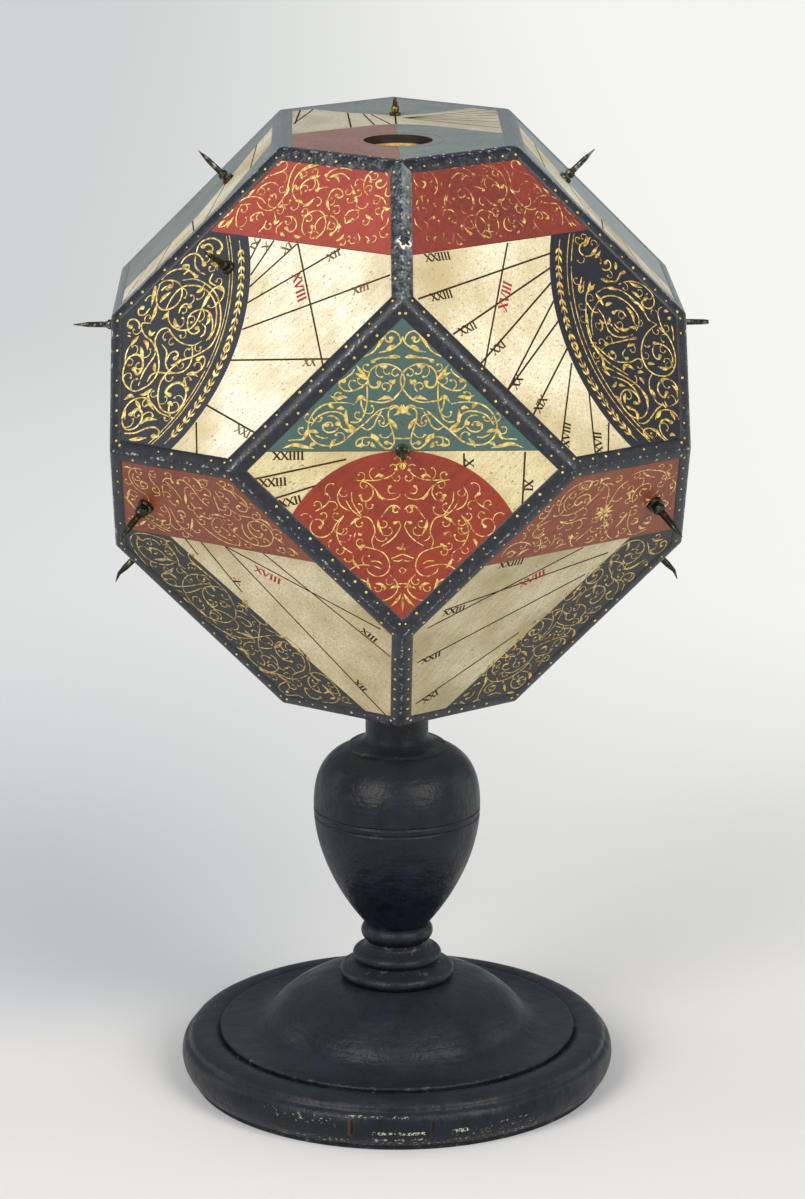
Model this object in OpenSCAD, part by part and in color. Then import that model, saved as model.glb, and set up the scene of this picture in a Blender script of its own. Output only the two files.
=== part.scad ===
// Polyhedral sundial: a hollow head of eighteen mitred dial boards that turns on
// the peg of a turned wooden stand, with a small compass let into its top board.
// Frame: origin on the floor under the stand's axis, +Z up, the front dial faces -Y.

/* [Head] */
// Distance between opposite dial faces
head_flats = 210; // [190:1:260]
// Thickness of the dial boards
board_t = 8; // [6:0.5:12]
// Width of an edge strip on each board
strip_w = 4.4; // [3:0.1:6]
// Thickness of an edge strip
strip_t = 0.5; // [0.3:0.1:1]
// Distance by which each strip stops short of its corner
strip_gap = 0.15; // [0.1:0.01:0.4]

/* [Gnomons] */
// Diameter of the collar that sits on the board
collar_d = 5; // [4.6:0.1:7]
// Height of the turned collar
collar_h = 4.6; // [3.5:0.1:6]
// Diameter of the pin where it leaves the collar
pin_d = 2.3; // [1.8:0.1:3]
// Diameter of the pin's point
point_d = 0.3; // [0.2:0.1:0.6]
// Share of a pin's length that tapers little
pin_even = 0.55; // [0.3:0.05:0.7]
// Thickness left at the end of that share
pin_left = 0.86; // [0.7:0.02:1]
// Diameter of the tang in the board
tang_d = 2; // [1.4:0.1:2.6]
// Length of the tang in the board
tang_l = 6; // [3:0.5:6]
// Gap between a tang and its hole, all round
tang_gap = 0.03; // [0.02:0.01:0.1]
// Angle of the bent points on the lower squares, downwards
bend_angle = 24; // [0:1:40]
// Length of a bent point
bend_l = 3.6; // [1:0.1:5]
// Height of the top gnomon
top_pin_h = 7; // [6:0.5:20]
// Thickness of the top gnomon against the others
top_pin_share = 0.85; // [0.7:0.05:1]
// Thickness of the gnomons under the head's middle against the others
lower_pin_share = 1.2; // [1:0.05:1.3]
// Height of the front and back gnomons
front_pin_h = 15; // [8:0.5:24]
// Height of the left and right gnomons
side_pin_h = 17; // [8:0.5:24]
// Height that is left of the broken right gnomon
broken_pin_h = 13; // [7:0.5:16]
// Height of the gnomons on the upper squares
upper_square_pin_h = 16; // [8:0.5:24]
// Height of the gnomons on the lower squares
lower_square_pin_h = 21; // [8:0.5:24]
// Height of the gnomons on the upper slanted hexagons
upper_hexagon_pin_h = 17; // [8:0.5:24]
// Height of the gnomons on the lower slanted hexagons
lower_hexagon_pin_h = 19; // [8:0.5:24]

/* [Gnomon places, in half widths of the head] */
// Top gnomon, towards the back
top_pin_up = 0.295; // [0.2:0.005:0.4]
// Front and back gnomons, upwards
front_pin_up = 0.067; // [0:0.001:0.2]
// Left and right gnomons, upwards
side_pin_up = 0.295; // [0.1:0.005:0.3]
// Gnomons of the upper squares, up the slope
upper_square_pin_up = 0.155; // [0:0.005:0.25]
// Gnomons of the lower squares, up the slope
lower_square_pin_up = 0.27; // [0:0.005:0.3]
// Gnomons of the upper slanted hexagons, up the slope
upper_hexagon_pin_up = 0.129; // [0:0.001:0.25]
// Gnomons of the upper slanted hexagons, away from the middle
upper_hexagon_pin_out = 0.157; // [0:0.001:0.3]
// Gnomons of the lower slanted hexagons, up the slope
lower_hexagon_pin_up = 0.333; // [0.1:0.001:0.36]
// Gnomons of the lower slanted hexagons, away from the middle
lower_hexagon_pin_out = 0.352; // [0:0.001:0.38]

/* [Compass] */
// Place of the compass, towards the front, in half widths of the head
compass_forward = 0.243; // [0.1:0.001:0.3]
// Diameter of the round well
well_d = 25.4; // [20:0.1:30]
// Depth of the well below the top face
well_depth = 15.2; // [15:0.1:22]
// Wall and floor of the turned wooden cup that carries the compass
cup_wall = 5; // [3:0.5:8]
// Gap between the brass bowl and the well
bowl_gap = 0.1; // [0.05:0.01:0.3]
// Wall of the brass bowl above its ledge
bowl_wall = 0.7; // [0.5:0.1:1]
// Floor of the brass bowl
bowl_floor = 0.8; // [0.5:0.1:1.5]
// Width of the ledge that carries the glass
ledge_w = 0.8; // [0.5:0.1:1.2]
// Clear height between card and glass
compass_room = 8.4; // [7.5:0.1:10]
// Thickness of the compass card
card_t = 0.4; // [0.2:0.1:0.8]
// Thickness of the glass
glass_t = 1.2; // [0.8:0.1:2]
// Height of the retaining ring
ring_h = 1.4; // [0.8:0.1:2]
// Width of the retaining ring
ring_w = 1.2; // [0.8:0.1:2]
// Gap round the card, the glass and the ring
inset_gap = 0.08; // [0.05:0.01:0.2]
// Diameter of the pivot pin
pivot_d = 1; // [0.8:0.1:1.4]
// Height of the pivot pin's point above the card
pivot_h = 5.6; // [4.5:0.1:6]
// Diameter of the pivot pin's foot
pivot_foot_d = 3; // [2.4:0.1:4]
// Length of the needle
needle_l = 19; // [12:0.5:19]
// Width of the needle at its cap
needle_w = 3.4; // [2.8:0.1:4]
// Thickness of the needle
needle_t = 0.4; // [0.3:0.05:0.6]
// Diameter of the needle's brass cap
cap_d = 2.4; // [2.2:0.1:2.8]
// Gap between the pivot and the cap
cap_gap = 0.2; // [0.15:0.01:0.3]

/* [Peg and socket] */
// Diameter of the peg that the head turns on
peg_d = 20; // [14:0.5:22]
// Length of the peg above the shoulder
peg_l = 36; // [20:0.5:45]
// Running gap between peg and socket, all round
peg_gap = 0.08; // [0.03:0.01:0.1]
// Wall of the socket block round the peg
socket_wall = 12; // [6:0.5:20]
// Room left above the end of the peg
socket_room = 2; // [0:0.5:6]

/* [Baluster] */
// Diameter of the neck under the head
neck_d = 24.4; // [24:0.1:32]
// Length of the plain neck
neck_l = 25.9; // [15:0.1:40]
// Diameter of the cap moulding above the vase
shoulder_d = 38; // [34:0.5:44]
// Height of the cap moulding
shoulder_h = 6; // [4:0.1:10]
// Largest diameter of the vase
vase_d = 65; // [56:0.5:80]
// Height of the vase above its widest point
vase_up = 23.5; // [18:0.5:40]
// Height of the vase below its widest point
vase_down = 48; // [35:0.5:70]
// Diameter of the vase at its foot
vase_foot_d = 25; // [22:0.5:27]
// Depth of the two lines cut round the vase
line_depth = 0.5; // [0.3:0.1:0.8]
// Diameter of the bead under the vase
bead_d = 28.2; // [27.5:0.1:34]
// Height of the bead
bead_h = 7.4; // [4:0.1:8]
// Height of the plain fillet under the bead
seam_h = 1.6; // [1.5:0.1:5]
// Diameter of the fillet at the joint with the foot
seam_d = 24.2; // [23:0.1:27]
// Diameter of the tenon in the foot
tenon_d = 16; // [10:0.5:18]
// Length of the tenon
tenon_l = 26; // [12:0.5:30]
// Gap between tenon and foot
tenon_gap = 0.05; // [0.03:0.01:0.2]

/* [Foot] */
// Width of the base disc's round edge, outside the seat
rim_w = 14; // [8:0.1:24]
// Height of the base disc's round edge
base_h = 20; // [12:0.5:24]
// Depth of the seat for the dome in the base disc
seat_depth = 4; // [1:0.1:4]
// Diameter of the dome's thin brim
brim_d = 140; // [125:0.5:144]
// Height of the brim's edge
brim_h = 4.4; // [3:0.1:8]
// Gap between the brim and the lip round its seat
brim_gap = 1; // [1:0.1:3]
// Height of the dome above the brim
dome_h = 20; // [14:0.5:36]
// Diameter of the dome's shoulder
dome_d = 98; // [80:0.5:110]
// Diameter of the lower ring
lower_ring_d = 44.8; // [40:0.1:52]
// Height of the lower ring
lower_ring_h = 5; // [3:0.1:7]
// Diameter of the upper ring
upper_ring_d = 34.8; // [30:0.1:39]
// Height of the upper ring
upper_ring_h = 4.6; // [3:0.1:7]
// Height of the hollow between and above the rings
hollow_h = 2; // [1.4:0.1:4]

/* [Hidden] */
$fn = 96;
STEPS = 12;
EPS = 0.01;

// Heights of the stand, from the floor up
seat_z = base_h - seat_depth;
brim_z = seat_z + brim_h;
dome_z = brim_z + dome_h;
lower_ring_z = dome_z + lower_ring_h;
upper_ring_z = lower_ring_z + hollow_h + upper_ring_h;
seam_z = upper_ring_z + hollow_h;
bead_z = seam_z + seam_h;
vase_z = bead_z + bead_h;
waist_z = vase_z + vase_down;
cap_z = waist_z + vase_up;
neck_z = cap_z + shoulder_h;
head_z = neck_z + neck_l;

// The head is a cube with every edge cut back, so that all faces lie one distance
// from the centre: tri is where three hexagons meet, side is half a square's side
half = head_flats / 2;
mid = [0, 0, head_z + half];
tri = half / sqrt(2);
side = 2 * tri - half;
R2 = 1 / sqrt(2);
AX = [[0, -1, 0], [-R2, 0, R2], [R2, 0, R2]];

// Name of each face and the way it looks, squares first
FACES = [
  ["front", AX[0]], ["back", -AX[0]],
  ["upper_left", AX[1]], ["lower_right", -AX[1]],
  ["upper_right", AX[2]], ["lower_left", -AX[2]],
  ["top", (AX[1] + AX[2]) * R2], ["bottom", -(AX[1] + AX[2]) * R2],
  ["left", (AX[1] - AX[2]) * R2], ["right", (AX[2] - AX[1]) * R2],
  ["front_upper_left", (AX[0] + AX[1]) * R2],
  ["front_upper_right", (AX[0] + AX[2]) * R2],
  ["front_lower_left", (AX[0] - AX[2]) * R2],
  ["front_lower_right", (AX[0] - AX[1]) * R2],
  ["back_upper_left", (AX[1] - AX[0]) * R2],
  ["back_upper_right", (AX[2] - AX[0]) * R2],
  ["back_lower_left", -(AX[0] + AX[2]) * R2],
  ["back_lower_right", -(AX[0] + AX[1]) * R2]
];
SQUARES = 6;
// The bottom board carries no dial, and one dial has lost its gnomon
NO_DIAL = "bottom";
LOST_PIN = "front_upper_right";
BROKEN_PIN = "right";
BENT_PINS = ["lower_left", "lower_right"];
PINNED = [for (i = [0 : len(FACES) - 1])
  if (FACES[i][0] != NO_DIAL && FACES[i][0] != LOST_PIN) i];

// Corners of the head, about its centre
function world(c) = c[0] * AX[0] + c[1] * AX[1] + c[2] * AX[2];
SIGNS = [for (a = [-1, 1], b = [-1, 1], c = [-1, 1]) [a, b, c]];
CORNERS = concat(
  [for (s = SIGNS) world(s * tri)],
  [for (s = SIGNS, k = [0 : 2])
    world([for (m = [0 : 2]) s[m] * (m == k ? half : side)])]);

// Directions on a face seen from outside: up the slope, and to the right
function unit(v) = v / norm(v);
function up_of(n) = abs(n[2]) > 0.99 ? [0, n[2], 0] : unit([0, 0, 1] - n[2] * n);
function right_of(n) = cross(up_of(n), n);

// Corners of a face, in order round it as seen from outside
function turn_of(p, n) = atan2(p * up_of(n), p * right_of(n));
function sorted(list, n) = len(list) < 2 ? list :
  let (a = turn_of(list[0], n))
  concat(sorted([for (p = list) if (turn_of(p, n) < a - EPS) p], n),
         [list[0]],
         sorted([for (p = list) if (turn_of(p, n) > a + EPS) p], n));
RINGS = [for (f = FACES)
  sorted([for (p = CORNERS) if (abs(p * f[1] - half) < EPS) p], f[1])];

// Corner k of face i, moved in from both edges by the width of a strip
function inset(i, k) =
  let (r = RINGS[i], n = len(r), p = r[k],
       a = unit(r[(k + n - 1) % n] - p), c = unit(r[(k + 1) % n] - p))
  p + strip_w / norm(cross(a, c)) * (a + c);
function index_of(i, p) = [for (k = [0 : len(RINGS[i]) - 1])
  if (norm(RINGS[i][k] - p) < EPS) k];

// Where a gnomon stands on its face: [to the right, up the slope, height]
function pin_of(f) = let (n = f[1], out = -sign(n[0] * n[1]))
  abs(n[2]) > 0.9 ? [0, top_pin_up * half, top_pin_h] :
  abs(n[1]) > 0.9 ? [0, front_pin_up * half, front_pin_h] :
  abs(n[0]) > 0.9 ? [0, side_pin_up * half, side_pin_h] :
  abs(n[1]) < 0.1 && n[2] > 0 ? [0, upper_square_pin_up * half, upper_square_pin_h] :
  abs(n[1]) < 0.1 ? [0, lower_square_pin_up * half, lower_square_pin_h] :
  n[2] > 0 ? [out * upper_hexagon_pin_out * half, upper_hexagon_pin_up * half, upper_hexagon_pin_h] :
  [out * lower_hexagon_pin_out * half, lower_hexagon_pin_up * half, lower_hexagon_pin_h];

// Puts a shape on a face, its own Z along the way the face looks
module on_face(f, right, up) {
  n = f[1];
  u = right_of(n);
  v = up_of(n);
  o = mid + half * n + right * u + up * v;
  multmatrix([[u[0], v[0], n[0], o[0]], [u[1], v[1], n[1], o[1]],
              [u[2], v[2], n[2], o[2]], [0, 0, 0, 1]])
    children();
}

// Points along a curve with two handles, and along part of a circle
function curve_at(a, b, c, d, t) =
  pow(1 - t, 3) * a + 3 * t * pow(1 - t, 2) * b + 3 * t * t * (1 - t) * c + t * t * t * d;
function curve(a, b, c, d) = [for (i = [0 : STEPS]) curve_at(a, b, c, d, i / STEPS)];
function arc(x, z, rx, rz, a0, a1) = [for (i = [0 : STEPS])
  let (a = a0 + (a1 - a0) * i / STEPS) [x + rx * cos(a), z + rz * sin(a)]];
// Half round moulding that stands out to radius r, from height z0 to z1
function moulding(r, z0, z1) = let (k = (z1 - z0) / 2) arc(r - k, z0 + k, k, k, -90, 90);

// Place of the compass on the top board
compass_y = -compass_forward * half;
top_z = mid[2] + half;
floor_z = top_z - well_depth;
card_z = floor_z + bowl_floor;
glass_z = card_z + card_t + compass_room;
rim_z = glass_z + glass_t + ring_h;
bowl_r = well_d / 2 - bowl_gap;
inside_r = bowl_r - bowl_wall;
ledge_r = inside_r - ledge_w;
point_z = card_z + card_t + pivot_h;
module at_compass(z) { translate([0, compass_y, z]) children(); }

// Stand
module foot_base() {
  lip_r = brim_d / 2 + brim_gap;
  edge_h = base_h / 2;
  edge_r = lip_r + rim_w;
  round_w = rim_w * 0.65;
  color("#20242c") rotate_extrude()
    polygon(concat([[0, 0], [edge_r - round_w / 2, 0]],
      arc(edge_r - round_w, edge_h, round_w, edge_h, -60, 90),
      [[lip_r, base_h], [lip_r, seat_z], [0, seat_z]]));
}

// Height of the dome's flank where it turns from hollow to round
function dome_knee() = [dome_d / 2, brim_z + dome_h * 0.36];
module foot_dome() {
  brim_r = brim_d / 2;
  knee = dome_knee();
  socket_r = tenon_d / 2 + tenon_gap;
  lower_r = lower_ring_d / 2;
  upper_r = upper_ring_d / 2;
  color("#222730") rotate_extrude()
    polygon(concat([[0, seat_z], [brim_r - 0.8, seat_z], [brim_r, seat_z + 0.8],
                    [brim_r, brim_z - 1.6]],
      curve([brim_r - 0.4, brim_z - 0.4], [brim_r - 8, brim_z - 1.4],
            [knee[0] + 9, brim_z - 0.4], knee),
      curve(knee, [knee[0] - 4, knee[1] + 6], [lower_r + 10, dome_z - 1], [lower_r - 1, dome_z]),
      moulding(lower_r, dome_z, lower_ring_z),
      [[upper_r - 1, lower_ring_z + hollow_h]],
      moulding(upper_r, lower_ring_z + hollow_h, upper_ring_z),
      [[seam_d / 2 + 1.2, upper_ring_z + hollow_h * 0.3], [seam_d / 2, seam_z],
       [socket_r, seam_z], [socket_r, seam_z - tenon_l - tenon_gap],
       [0, seam_z - tenon_l - tenon_gap]]));
}

module baluster() {
  vase_r = vase_d / 2;
  foot_r = vase_foot_d / 2;
  cap_r = shoulder_d / 2;
  neck_r = neck_d / 2;
  low = [[foot_r, vase_z], [foot_r + 12, vase_z + vase_down * 0.29],
         [vase_r, waist_z - vase_down * 0.33], [vase_r, waist_z]];
  color("#1d222b") difference() {
    rotate_extrude()
      polygon(concat([[0, seam_z - tenon_l], [tenon_d / 2, seam_z - tenon_l],
                      [tenon_d / 2, seam_z], [seam_d / 2, seam_z], [seam_d / 2, bead_z]],
        moulding(bead_d / 2, bead_z, vase_z),
        curve(low[0], low[1], low[2], low[3]),
        curve([vase_r, waist_z], [vase_r, waist_z + vase_up * 0.4],
              [vase_r - 1.5, cap_z - vase_up * 0.17], [cap_r + 0.5, cap_z]),
        [[cap_r, cap_z + 0.2], [cap_r, cap_z + 1.2]],
        curve([cap_r - 0.6, cap_z + 1.6], [cap_r - 4, cap_z + 2],
              [neck_r + 0.6, cap_z + shoulder_h * 0.5], [neck_r, neck_z]),
        [[neck_r, head_z], [peg_d / 2, head_z], [peg_d / 2, head_z + peg_l - 1.5],
         [peg_d / 2 - 1.5, head_z + peg_l], [0, head_z + peg_l]]));
    for (t = [0.94, 1]) {
      p = curve_at(low[0], low[1], low[2], low[3], t);
      rotate_extrude() translate(p) circle(line_depth, $fn = 16);
    }
  }
}

// Head
module socket_block() {
  z = head_z + board_t;
  r = peg_d / 2 + peg_gap;
  color("#8a6a42") translate([0, 0, z]) difference() {
    cylinder(r = r + socket_wall, h = peg_l - board_t + socket_room + socket_wall / 2);
    translate([0, 0, -1]) cylinder(r = r, h = peg_l - board_t + socket_room + 1);
  }
}

// Dial board with mitred edges that all aim at the head's centre
module board(i) {
  f = FACES[i];
  n = len(RINGS[i]);
  pin = pin_of(f);
  color(i < SQUARES ? "#e6dcc0" : "#dfd3b4") difference() {
    translate(mid) polyhedron(
      points = concat(RINGS[i], RINGS[i] * ((half - board_t) / half)),
      faces = concat([[for (k = [n - 1 : -1 : 0]) k]], [[for (k = [0 : n - 1]) n + k]],
        [for (k = [0 : n - 1]) [n + k, k, (k + 1) % n, n + (k + 1) % n]]));
    if (f[0] == NO_DIAL)
      translate([0, 0, head_z - 1]) cylinder(r = peg_d / 2 + peg_gap, h = board_t + 2);
    else
      on_face(f, pin[0], pin[1]) translate([0, 0, -tang_l - tang_gap])
        cylinder(d = tang_d + 2 * tang_gap, h = tang_l + 1);
    if (f[0] == "top")
      at_compass(top_z - board_t - 1) cylinder(d = well_d, h = board_t + 2);
  }
}

// Strip folded over the joint that starts at corner k of face i
module strip(i, j, k, m) {
  ni = len(RINGS[i]);
  nj = len(RINGS[j]);
  p = RINGS[i][k];
  q = RINGS[i][(k + 1) % ni];
  e = strip_gap * unit(q - p);
  base = [p + e, q - e, inset(i, k) + e, inset(i, (k + 1) % ni) - e,
          inset(j, (m + 1) % nj) + e, inset(j, m) - e];
  translate(mid) polyhedron(
    points = concat(base, base * ((half + strip_t) / half)),
    faces = [[6, 8, 9, 7], [0, 1, 3, 2], [7, 11, 10, 6], [1, 0, 4, 5], [3, 9, 8, 2],
             [4, 10, 11, 5], [2, 8, 6, 0], [1, 7, 9, 3], [0, 6, 10, 4], [5, 11, 7, 1]]);
}
module strips(first, last) {
  color("#25282d") for (i = [first : last], k = [0 : len(RINGS[i]) - 1],
                        j = [max(i + 1, SQUARES) : len(FACES) - 1]) {
    q = index_of(j, RINGS[i][(k + 1) % len(RINGS[i])]);
    p = index_of(j, RINGS[i][k]);
    if (len(q) == 1 && len(p) == 1) strip(i, j, k, q[0]);
  }
}
module square_edge_strips() { strips(0, SQUARES - 1); }
module hexagon_edge_strips() { strips(SQUARES, len(FACES) - 1); }

// Tang, turned collar and tapered pin in one; a bent pin has its point tipped over
module gnomon(i) {
  f = FACES[i];
  at = pin_of(f);
  bent = search([f[0]], BENT_PINS)[0] != [];
  broken = f[0] == BROKEN_PIN;
  h = broken ? broken_pin_h : bent ? at[2] - bend_l : at[2];
  share = f[0] == "top" ? top_pin_share : f[1][2] < -0.1 ? lower_pin_share : 1;
  c = collar_d / 2 * share;
  r = pin_d / 2 * share;
  tall = collar_h * share;
  waist = r + 0.3;
  full = at[2] - tall;
  end = lookup((h - tall) / full, [[0, r], [pin_even, r * pin_left], [1, point_d / 2]]);
  color("#4a4233") on_face(f, at[0], at[1]) {
    rotate_extrude($fn = 48)
      polygon(concat([[0, -tang_l], [tang_d / 2, -tang_l], [tang_d / 2, 0], [c, 0],
                      [c, tall * 0.26], [c - 0.4, tall * 0.32], [waist, tall * 0.36],
                      [waist, tall * 0.42]],
        arc(waist, tall * 0.66, c - r - 0.9, tall * 0.24, -90, 90),
        [[r, tall], [r * pin_left, tall + pin_even * full], [end, h], [0, h]]));
    if (bent) translate([0, 0, h]) {
      sphere(end, $fn = 32);
      rotate([bend_angle, 0, 0]) cylinder(h = bend_l, r1 = end, r2 = point_d / 2, $fn = 32);
    }
  }
}

// Compass
module compass_cup() {
  z = top_z - board_t;
  r = well_d / 2;
  color("#6b5231") at_compass(floor_z) difference() {
    translate([0, 0, -cup_wall]) cylinder(r = r + cup_wall, h = z - floor_z + cup_wall);
    cylinder(r = r, h = well_depth + 1);
  }
}
module compass_bowl() {
  color("#c9a34a") at_compass(0) rotate_extrude()
    polygon([[0, floor_z], [bowl_r, floor_z], [bowl_r, rim_z], [inside_r, rim_z],
             [inside_r, glass_z], [ledge_r, glass_z], [ledge_r, card_z], [0, card_z]]);
}
module compass_card() {
  color("#e8e0c8") at_compass(card_z) difference() {
    cylinder(r = ledge_r - inset_gap, h = card_t);
    translate([0, 0, -1]) cylinder(d = pivot_foot_d + 2 * inset_gap, h = card_t + 2);
  }
}
module compass_pivot() {
  r = pivot_d / 2;
  color("#b8923e") at_compass(card_z) rotate_extrude($fn = 48)
    polygon([[0, 0], [pivot_foot_d / 2, 0], [pivot_foot_d / 2, card_t],
             [r, card_t + 0.4], [r, card_t + pivot_h - 2 * r], [0, card_t + pivot_h]]);
}
// Height of the needle on its cap
needle_z = point_z - 0.9;
module compass_needle() {
  color("#3d4652") at_compass(needle_z) difference() {
    linear_extrude(needle_t)
      polygon([[-needle_w / 2, 0], [-0.5, needle_l / 2 - 2], [0, needle_l / 2], [0.5, needle_l / 2 - 2],
               [needle_w / 2, 0], [0.5, -needle_l / 2], [-0.5, -needle_l / 2]]);
    translate([0, 0, -1]) cylinder(d = cap_d + 2 * inset_gap, h = needle_t + 2, $fn = 48);
  }
}
module needle_cap() {
  r = cap_d / 2;
  bore = pivot_d / 2 + cap_gap;
  low = needle_z - 0.5;
  color("#c9a34a") at_compass(0) rotate_extrude($fn = 48)
    polygon([[bore, low], [needle_w / 2 + 0.1, low], [needle_w / 2 + 0.1, needle_z], [r, needle_z],
             [r, point_z + 0.2], [r - 0.5, point_z + 0.8], [0, point_z + 0.8],
             [0, point_z + cap_gap], [bore, point_z + cap_gap - 2 * bore]]);
}
module compass_glass() {
  color("#d8e4e4", 0.35) at_compass(glass_z)
    cylinder(r = inside_r - inset_gap, h = glass_t);
}
module compass_ring() {
  color("#d0aa4a") at_compass(glass_z + glass_t) difference() {
    cylinder(r = inside_r - inset_gap, h = ring_h);
    translate([0, 0, -1]) cylinder(r = inside_r - ring_w, h = ring_h + 2);
  }
}

foot_base();
foot_dome();
baluster();
socket_block();
for (i = [0 : len(FACES) - 1])
  board(i);
square_edge_strips();
hexagon_edge_strips();
for (i = PINNED)
  gnomon(i);
compass_cup();
compass_bowl();
compass_card();
compass_pivot();
compass_needle();
needle_cap();
compass_glass();
compass_ring();
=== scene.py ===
import math

import bpy
import numpy as np
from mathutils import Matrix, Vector


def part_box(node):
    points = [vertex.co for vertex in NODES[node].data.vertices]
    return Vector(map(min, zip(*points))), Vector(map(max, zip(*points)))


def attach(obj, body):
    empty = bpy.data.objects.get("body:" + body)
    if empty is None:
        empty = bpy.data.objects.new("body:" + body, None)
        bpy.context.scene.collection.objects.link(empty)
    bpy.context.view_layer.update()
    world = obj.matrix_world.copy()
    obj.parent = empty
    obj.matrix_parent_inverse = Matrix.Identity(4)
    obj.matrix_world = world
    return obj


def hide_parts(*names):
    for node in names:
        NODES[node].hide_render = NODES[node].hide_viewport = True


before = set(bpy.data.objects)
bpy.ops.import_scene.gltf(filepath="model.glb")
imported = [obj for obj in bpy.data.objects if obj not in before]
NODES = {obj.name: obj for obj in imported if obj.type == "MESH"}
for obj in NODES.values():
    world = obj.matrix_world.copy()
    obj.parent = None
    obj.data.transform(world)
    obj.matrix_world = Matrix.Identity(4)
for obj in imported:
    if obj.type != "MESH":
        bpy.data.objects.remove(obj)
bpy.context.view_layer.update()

# The head, in millimetres about its centre: eighteen faces at one distance from the middle
MM = 0.001
R2 = math.sqrt(0.5)
FRONT = Vector((0, -1, 0))
WEST = Vector((-R2, 0, R2))
EAST = Vector((R2, 0, R2))
FACES = {
    "front": FRONT,
    "back": -FRONT,
    "upper_left": WEST,
    "lower_right": -WEST,
    "upper_right": EAST,
    "lower_left": -EAST,
    "top": (WEST + EAST) * R2,
    "bottom": -(WEST + EAST) * R2,
    "left": (WEST - EAST) * R2,
    "right": (EAST - WEST) * R2,
    "front_upper_left": (FRONT + WEST) * R2,
    "front_upper_right": (FRONT + EAST) * R2,
    "front_lower_left": (FRONT - EAST) * R2,
    "front_lower_right": (FRONT - WEST) * R2,
    "back_upper_left": (WEST - FRONT) * R2,
    "back_upper_right": (EAST - FRONT) * R2,
    "back_lower_left": -(FRONT + EAST) * R2,
    "back_lower_right": -(FRONT + WEST) * R2,
}
SQUARES = list(FACES)[:6]
HALF = -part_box("board_front")[0].y / MM
MID = Vector((0, 0, sum(corner.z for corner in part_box("board_left")) / 2 / MM))
# Width of a strip on each side of a joint, and how far the paint runs under it
STRIP_W = 4.4
UNDER_STRIP = 0.5
# Place of the compass well on the top, and its radius
COMPASS_V = -0.243 * HALF
WELL_R = 12.7


def up_of(n):
    if abs(n.z) > 0.99:
        return Vector((0, n.z, 0))
    return (Vector((0, 0, 1)) - n.z * n).normalized()


def right_of(n):
    return up_of(n).cross(n)


def corners_of_head():
    tri = HALF * R2
    side = 2 * tri - HALF
    found = []
    for signs in [(a, b, c) for a in (-1, 1) for b in (-1, 1) for c in (-1, 1)]:
        shares = [(tri, tri, tri), (HALF, side, side), (side, HALF, side), (side, side, HALF)]
        for f, w, e in shares:
            found.append(FRONT * f * signs[0] + WEST * w * signs[1] + EAST * e * signs[2])
    return found


CORNERS = corners_of_head()
RINGS = {}
OUTLINES = {}
for face, normal in FACES.items():
    right, up = right_of(normal), up_of(normal)
    ring = [c for c in CORNERS if abs(c.dot(normal) - HALF) < 0.01]
    ring.sort(key=lambda c: math.atan2(c.dot(up), c.dot(right)))
    RINGS[face] = ring
    OUTLINES[face] = [(c.dot(right), c.dot(up)) for c in ring]


# Plane shapes on a face, in millimetres to the right and up
def clip(shape, nu, nv, limit):
    """The part of a convex shape where nu * u + nv * v is at most limit."""
    kept = []
    for a, b in zip(shape, shape[1:] + shape[:1]):
        da = nu * a[0] + nv * a[1] - limit
        db = nu * b[0] + nv * b[1] - limit
        if da <= 0:
            kept.append(a)
        if da * db < 0:
            t = da / (da - db)
            kept.append((a[0] + t * (b[0] - a[0]), a[1] + t * (b[1] - a[1])))
    return kept


def shrink(shape, gap):
    kept = shape
    for a, b in zip(shape, shape[1:] + shape[:1]):
        du, dv = b[0] - a[0], b[1] - a[1]
        length = math.hypot(du, dv)
        if length > 1e-6:
            nu, nv = dv / length, -du / length
            kept = clip(kept, nu, nv, nu * a[0] + nv * a[1] - gap)
    return kept


def common(shape, other):
    for a, b in zip(other, other[1:] + other[:1]):
        nu, nv = b[1] - a[1], a[0] - b[0]
        shape = clip(shape, nu, nv, nu * a[0] + nv * a[1])
    return shape


def disc(u, v, r, sides=180):
    turns = [2 * math.pi * k / sides for k in range(sides)]
    return [(u + r * math.cos(t), v + r * math.sin(t)) for t in turns]


def arc(u, v, r, start, end, steps=90):
    turns = np.radians(np.linspace(start, end, steps))
    return np.stack([u + r * np.cos(turns), v + r * np.sin(turns)], 1)


def inside(points, shape):
    u, v = points[:, 0], points[:, 1]
    odd = np.zeros(len(points), bool)
    for (au, av), (bu, bv) in zip(shape, shape[1:] + shape[:1]):
        if av != bv:
            crosses = (av > v) != (bv > v)
            odd ^= crosses & (u < (bu - au) * (v - av) / (bv - av) + au)
    return odd


def heading(angle):
    return np.array([math.cos(angle), math.sin(angle)])


# Heights over a board of each kind of mark: at its edges, and along its ridge or on its flat
PAINT_HEIGHTS = (-0.05, 0.08)
INK_HEIGHTS = (0, 0.05)
BORDER_HEIGHTS = (-0.03, 0.1)
GOLD_HEIGHTS = (0.04, 0.17)
LEAF_HEIGHTS = (0.04, 0.2)
BUD_HEIGHTS = (0.04, 0.24)


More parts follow.
